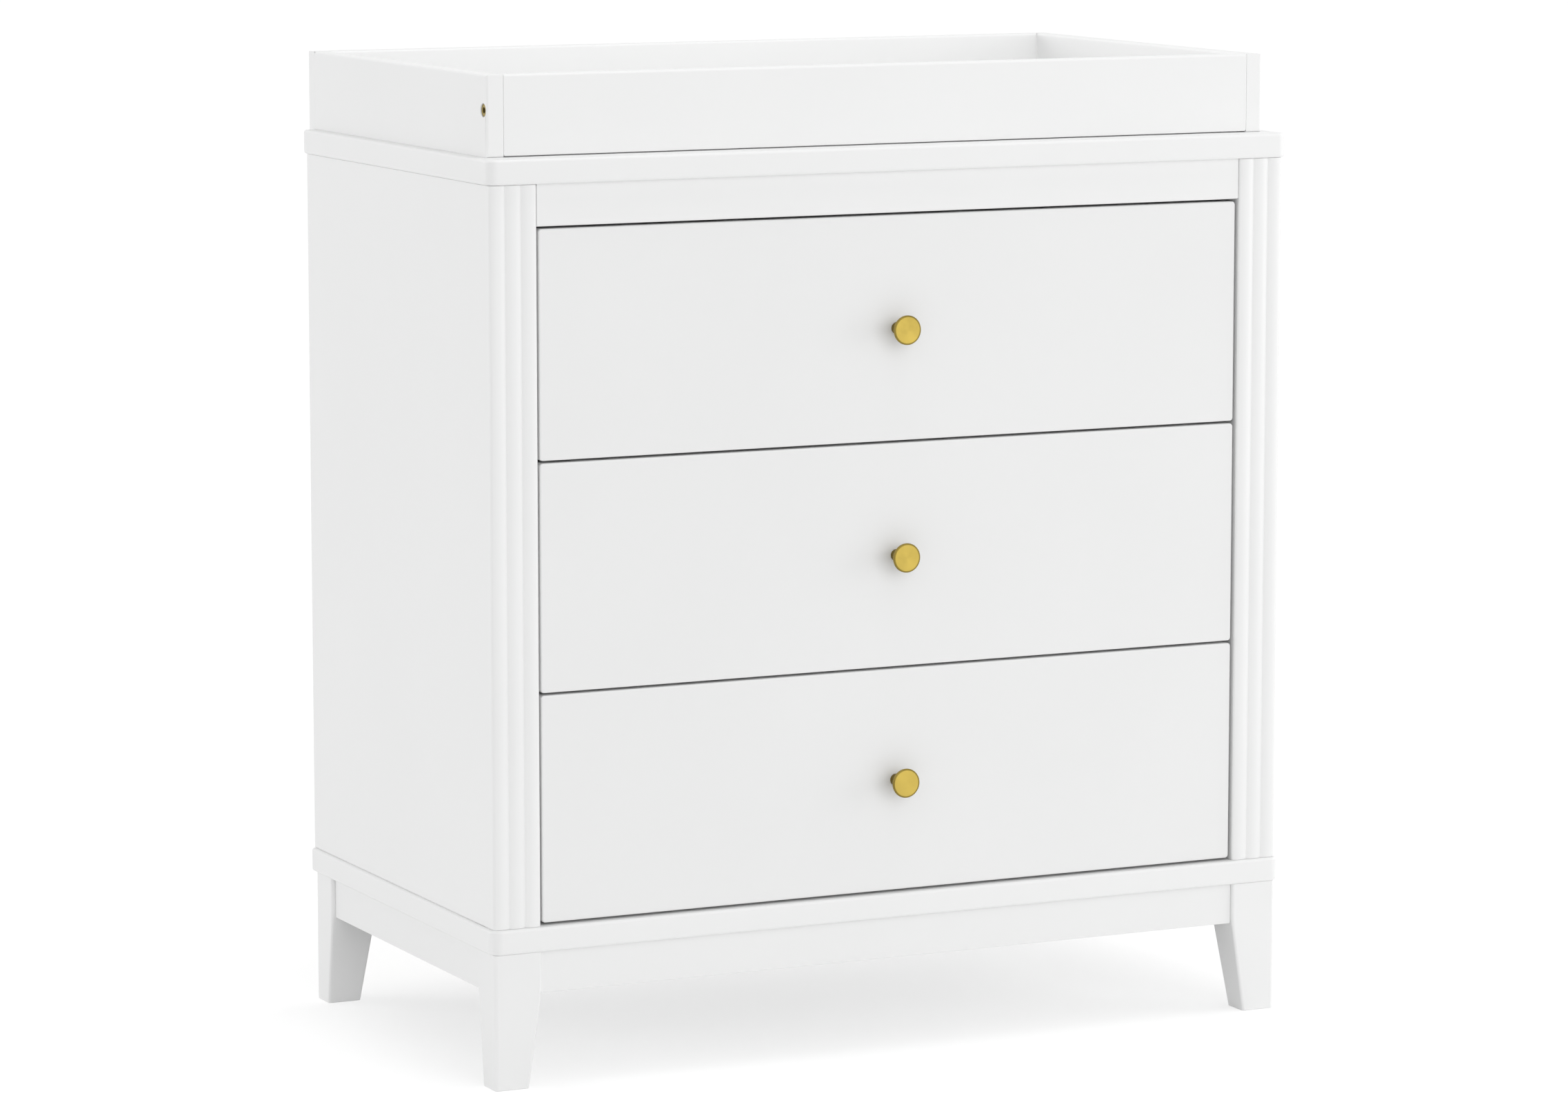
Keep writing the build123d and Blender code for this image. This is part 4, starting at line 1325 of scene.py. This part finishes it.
@dataclass
class ChangingTray(Assembly):
    """Four boards bolted at their corners, which lift off the top together."""

    body: str = "changing_tray"
    arris: float = 0.0025
    top_corner: float = 0.0008
    foot_corner: float = 0.0020
    foot_ease: float = 0.0010
    foot_gap: float = 0.0010
    bolt: SocketBolt = SocketBolt()
    bolt_raise: float = 0.046
    bolt_sink: float = 0.0010
    bolt_reach: float = 0.037
    nut: ScrewHead = ScrewHead(0.005, 0.001)
    nut_sink: float = 0.0015
    play: float = 0.0002
    hole_depth: float = 0.006

    def build(self) -> None:
        """Makes the boards with their holes, then the bolts and nuts in them."""
        end = self.end()
        self.add(end, PAINT, "tray_right_end")
        self.add(end.mirrored(), PAINT, "tray_left_end")
        self.add(self.front(), PAINT, "tray_front_board")
        self.add(self.back(), PAINT, "tray_back_board")
        self.add(self.bolts(), BOLT_BRASS, "tray_bolts")
        self.add(self.nuts(), ZINC, "tray_barrel_nuts")

    @property
    def level(self) -> float:
        """Height of the bolts and nuts."""
        return Facing.UP.limits("tray_right_end")[0][2] + self.bolt_raise

    @property
    def middle_of_end(self) -> float:
        """x of the middle of the right-hand end's edge, where the back board's bolt goes in."""
        return Facing.UP.middle("tray_right_end")[0]

    @property
    def middle_of_front(self) -> float:
        """y of the middle of the front board's edge, where the ends' bolts go in."""
        return Facing.UP.middle("tray_front_board")[1]

    @property
    def nut_on_front(self) -> float:
        """x of the right-hand nut in the front board."""
        return Facing.UP.limits("tray_right_end")[0][0] - self.bolt_reach

    @property
    def nut_on_end(self) -> float:
        """y of the nut in each end."""
        return Facing.UP.limits("tray_right_end")[1][1] - self.bolt_reach

    def bolt_hole(self, u: float) -> Hole:
        """The recess of a bolt head in a board's front face."""
        return Hole(u, self.level, self.bolt.radius + self.play, self.hole_depth)

    def nut_hole(self, u: float) -> Hole:
        """The bore of a barrel nut in a board's back face."""
        return Hole(u, self.level, self.nut.radius + self.play, self.hole_depth, in_front=False)

    def end(self) -> Skin:
        """The right-hand end: round upper edges and a round front arris outside."""
        outer = Rims(left=self.arris, upper=self.arris)
        inner = Rims(left=JOINT_EASE, upper=self.arris)
        corners = (EASE, EASE, self.top_corner, self.foot_corner)
        holes = (self.bolt_hole(self.middle_of_front), self.nut_hole(self.nut_on_end))
        return Board(Facing.RIGHT.limits("tray_right_end"), Facing.RIGHT, corners, outer, inner, holes).skin()

    def front(self) -> Skin:
        """The front board between the ends, with round upper edges and eased feet."""
        rims = Rims(left=JOINT_EASE, right=JOINT_EASE, lower=self.foot_ease, upper=self.arris)
        holes = tuple(self.nut_hole(sign * self.nut_on_front) for sign in SIDES.values())
        gap = JOINT_GAP / 2
        limits = Facing.FRONT.limits("tray_front_board") + [[gap, self.foot_gap, 0], [-gap, 0, 0]]
        corners = (self.foot_corner, self.top_corner, self.top_corner, self.foot_corner)
        return Board(limits, Facing.FRONT, corners, rims, rims, holes).skin()

    def back(self) -> Skin:
        """The back board, which hangs behind the top: long edges and rear uprights round."""
        rear = Rims.even(self.arris)
        near = Rims(left=JOINT_EASE, right=JOINT_EASE, lower=self.arris, upper=self.arris)
        holes = tuple(self.bolt_hole(sign * self.middle_of_end) for sign in SIDES.values())
        limits = Facing.BACK.limits("tray_back_board")
        return Board(limits, Facing.BACK, (self.top_corner,) * 4, rear, near, holes).skin()

    def bolts(self) -> Skin:
        """Bolt heads a little below the ends' outer faces and the back board's rear face."""
        outside = Facing.RIGHT.limits("tray_right_end")[1][2] - self.bolt_sink
        behind = Facing.BACK.limits("tray_back_board")[1][2] - self.bolt_sink
        front = self.bolt.skin((self.middle_of_front, self.level), outside, Facing.RIGHT)
        rear = self.bolt.skin((self.middle_of_end, self.level), behind, Facing.BACK)
        return joined([front, rear]).both()

    def nuts(self) -> Skin:
        """Barrel nuts with a cross recess, a little below the boards' inner faces."""
        below = self.nut_sink + self.nut.height
        inside = Facing.LEFT.limits("tray_right_end")[1][2] - below
        within = Facing.BACK.limits("tray_front_board")[1][2] - below
        end = self.nut.skin((-self.nut_on_end, self.level), inside, Facing.LEFT)
        front = self.nut.skin((self.nut_on_front, self.level), within, Facing.BACK)
        return joined([end, front]).both()


@dataclass
class Drawer(Assembly):
    """One drawer: its front, box, knob and moving rails."""

    name: str = ""
    front_proud: float = 0.0035
    corner: float = 0.0035
    arris: float = 0.002
    box_arris: float = 0.002
    back_arris: float = 0.0012
    head_radius: float = 0.015
    head_thick: float = 0.0028
    stem_radius: float = 0.0056
    foot_radius: float = 0.0062
    neck: float = 0.004
    head_arris: float = 0.0008
    knob_core: float = 0.0002
    screw: ScrewHead = ScrewHead(0.0045, 0.0026)
    runner: Runner = Runner()
    rail_screw: ScrewHead = ScrewHead(0.0022, 0.0006)
    rail_screw_raise: float = 0.0250
    rail_screw_places: tuple[float, ...] = (-0.18, 0.0, 0.16)

    def build(self) -> None:
        """Makes the front, a little proud of its CAD node, then the box, knob and runners."""
        front = self.node("front")
        rims, behind = Rims.even(self.arris), Rims.even(EASE)
        limits = Facing.FRONT.limits(front) + [[0, 0, 0], [0, 0, self.front_proud]]
        # the drawer face takes the darker, shaded copy of the white paint
        self.add(Board(limits, Facing.FRONT, (self.corner,) * 4, rims, behind).skin(), FRONT_PAINT_SHADED, front)
        side = self.box_board(self.node("right_side"), Facing.BACK, self.box_arris)
        self.add(side, BIRCH_DEEP, self.node("right_side"))
        self.add(side.mirrored(), BIRCH_DEEP, self.node("left_side"))
        back = self.node("back")
        self.add(self.box_board(back, Facing.RIGHT, self.back_arris), BIRCH_ACROSS, back)
        level = Facing.FRONT.middle(front)[1]
        self.add(self.knob(level, limits[1][2]), KNOB_BRASS, self.node("knob"))
        self.add(self.screw.skin((0, level), -limits[0][2], Facing.BACK), ZINC, self.node("knob_screw"))
        self.keep(HARDBOARD, self.node("bottom"))
        self.add(self.runner.rail(self.name).both(), COAT, self.node("rails"))
        self.add(self.rail_screws(), ZINC, name=self.node("rail_screws"))
        for part in ("drawer_rollers", "cabinet_rollers"):
            rollers = f"{self.name}_{part}"
            Assembly(rollers).add(self.runner.wheel(rollers).both(), NYLON, rollers)

    def node(self, part: str) -> str:
        """Name of a piece of this drawer, as the CAD nodes have it."""
        return f"{self.body}_{part}"

    def box_board(self, node: str, facing: Facing, arris: float) -> Skin:
        """A board of the box along a facing's w, its two upper arrises round."""
        return bar(facing.limits(node), facing, (EASE, EASE, arris, arris))

    def rail_screws(self) -> Skin:
        """Small heads along the top of both rails, which hold them to the box."""
        seat = self.runner.face - self.runner.space + self.runner.sheet
        height = self.runner.level(self.name) + self.rail_screw_raise
        heads = [self.rail_screw.skin((u, height), seat, Facing.RIGHT) for u in self.rail_screw_places]
        return joined(heads).both()

    def knob(self, level: float, seat: float) -> Skin:
        """A turned knob: a foot, a slim stem that flares into a flat round head.

        Args:
            level: height of its middle.
            seat: how far forward the drawer's face is.
        Returns:
            The closed skin; its trace runs along the profile for the lathe lines.
        """
        top = Facing.FRONT.limits(f"{self.name}_drawer_knob")[1][2]
        under = top - self.head_thick
        core = self.knob_core
        corners = [
            (core, seat), (self.foot_radius, seat), (self.stem_radius, seat + self.neck),
            (self.stem_radius, under), (self.head_radius, under), (self.head_radius, top), (core, top),
        ]
        radii = [0, EASE, self.neck / 2, self.neck, self.head_arris, self.head_arris, 0]
        return turned(Outline.rounded(corners, radii, BROAD_STEPS, closed=False), (0, level), Facing.FRONT)


@dataclass(frozen=True)
class Lamp:
    """A very wide, far-off lamp: the direction that it shines from, its width in degrees and its strength."""

    name: str
    source: Triple
    width: float
    strength: float

    def build(self, scene: bpy.types.Scene) -> None:
        """Hangs the lamp in a scene."""
        data = bpy.data.lights.new(self.name, "SUN")
        data.angle, data.energy = math.radians(self.width), self.strength
        lamp = bpy.data.objects.new(self.name, data)
        lamp.rotation_euler = Vector(self.source).to_track_quat("Z", "Y").to_euler()
        scene.collection.objects.link(lamp)


@dataclass(frozen=True)
class Softbox:
    """A square lamp near the object: its place, what it points at, its size in metres and its power."""

    name: str
    place: Triple
    aim: Triple
    size: float
    power: float

    def build(self, scene: bpy.types.Scene) -> None:
        """Hangs the lamp in a scene, out of the camera's sight."""
        data = bpy.data.lights.new(self.name, "AREA")
        data.size, data.energy = self.size, self.power
        lamp = bpy.data.objects.new(self.name, data)
        lamp.location = self.place
        towards = Vector(self.aim) - Vector(self.place)
        lamp.rotation_euler = towards.to_track_quat("-Z", "Y").to_euler()
        lamp.visible_camera = False
        scene.collection.objects.link(lamp)


@dataclass
class Studio:
    """A white floor, an even white surround, soft lamps and the camera."""

    focal: float = 134.388
    sensor: float = 36.0
    eye: Triple = (-2.65968, -5.49240, 1.34270)
    pitch: float = 8.0854
    yaw: float = 25.7439
    floor_half: float = 60.0
    floor_colour: Colour = (0.92, 0.92, 0.92)
    shown_colour: Colour = (0.70, 0.70, 0.70)
    floor_glow: float = 0.505
    surround: float = 0.610
    lamps: tuple[Lamp | Softbox, ...] = (
        Lamp("front_lamp", (0.0, -1.0, 0.12), 60.0, 1.02),
        Lamp("left_lamp", (-0.80, 0.55, 0.05), 40.0, 1.20),
        Lamp("right_lamp", (0.93, 0.35, 0.15), 50.0, 0.60),
        Softbox("key_lamp", (2.8, -1.25, 0.9), (0.0, -0.24, 0.5), 1.6, 14.6),
        Softbox("top_lamp", (0.0, -0.35, 2.6), (0.0, 0.1, 1.0), 0.8, 6.8),
    )

    def build(self) -> None:
        """Sets the stage."""
        scene = bpy.context.scene
        scene.view_settings.view_transform = "Standard"
        self.camera(scene)
        self.floor(scene)
        self.sky(scene)
        for lamp in self.lamps:
            lamp.build(scene)

    def camera(self, scene: bpy.types.Scene) -> None:
        """The camera where the photograph was taken from."""
        data = bpy.data.cameras.new("camera")
        data.lens, data.sensor_width = self.focal, self.sensor
        camera = bpy.data.objects.new("camera", data)
        camera.location = self.eye
        camera.rotation_euler = (math.radians(90 - self.pitch), 0, math.radians(-self.yaw))
        scene.collection.objects.link(camera)
        scene.camera = camera

    def seen(self, graph: Graph) -> Term:
        """1 for rays from the camera, or off or through a shiny surface; 0 for light that is gathered."""
        kinds = ("Camera", "Glossy", "Transmission")
        camera, glossy, through = (graph.node("LightPath", out=f"Is {kind} Ray") for kind in kinds)
        return graph.maths("MINIMUM", camera + glossy + through, 1.0)

    def floor(self, scene: bpy.types.Scene) -> None:
        """A wide floor that reads as white where nothing shades it, and is clear from below."""
        half = self.floor_half
        mesh = bpy.data.meshes.new("floor")
        corners = [(-half, -half, 0), (half, -half, 0), (half, half, 0), (-half, half, 0)]
        mesh.from_pydata(corners, [], [(0, 1, 2, 3)])
        material = bpy.data.materials.new("floor")
        material.use_nodes = True
        graph = Graph(material.node_tree)
        plain = graph.node("BsdfDiffuse", {"Color": self.floor_colour})
        glow = graph.node("Emission", {"Strength": self.floor_glow})
        pale = graph.node("BsdfDiffuse", {"Color": self.shown_colour})
        bright = graph.node("AddShader", {0: pale, 1: glow})
        shown = graph.node("MixShader", {0: self.seen(graph), 1: plain, 2: bright})
        below = graph.node("NewGeometry", out="Backfacing")
        clear = graph.node("BsdfTransparent")
        surface = graph.node("MixShader", {0: below, 1: shown, 2: clear})
        graph.node("OutputMaterial", {"Surface": surface})
        mesh.materials.append(material)
        floor = bpy.data.objects.new("floor", mesh)
        scene.collection.objects.link(floor)

    def sky(self, scene: bpy.types.Scene) -> None:
        """A white surround to look at, and an even light from all round."""
        world = bpy.data.worlds.new("surround")
        world.use_nodes = True
        graph = Graph(world.node_tree)
        strength = self.surround + (1.0 - self.surround) * self.seen(graph)
        light = graph.node("Background", {"Color": (1.0, 1.0, 1.0), "Strength": strength})
        graph.node("OutputWorld", {"Surface": light})
        scene.world = world


def main() -> None:
    """Builds the dresser, its drawers and its tray, then the studio round them."""
    logging.basicConfig(level=logging.INFO, format="%(name)s %(message)s")
    drawers = [Drawer(f"{name}_drawer", name) for name in DRAWERS]
    for assembly in (Carcass(), *drawers, ChangingTray()):
        assembly.build()
    Studio().build()


if __name__ == "__main__":
    main()
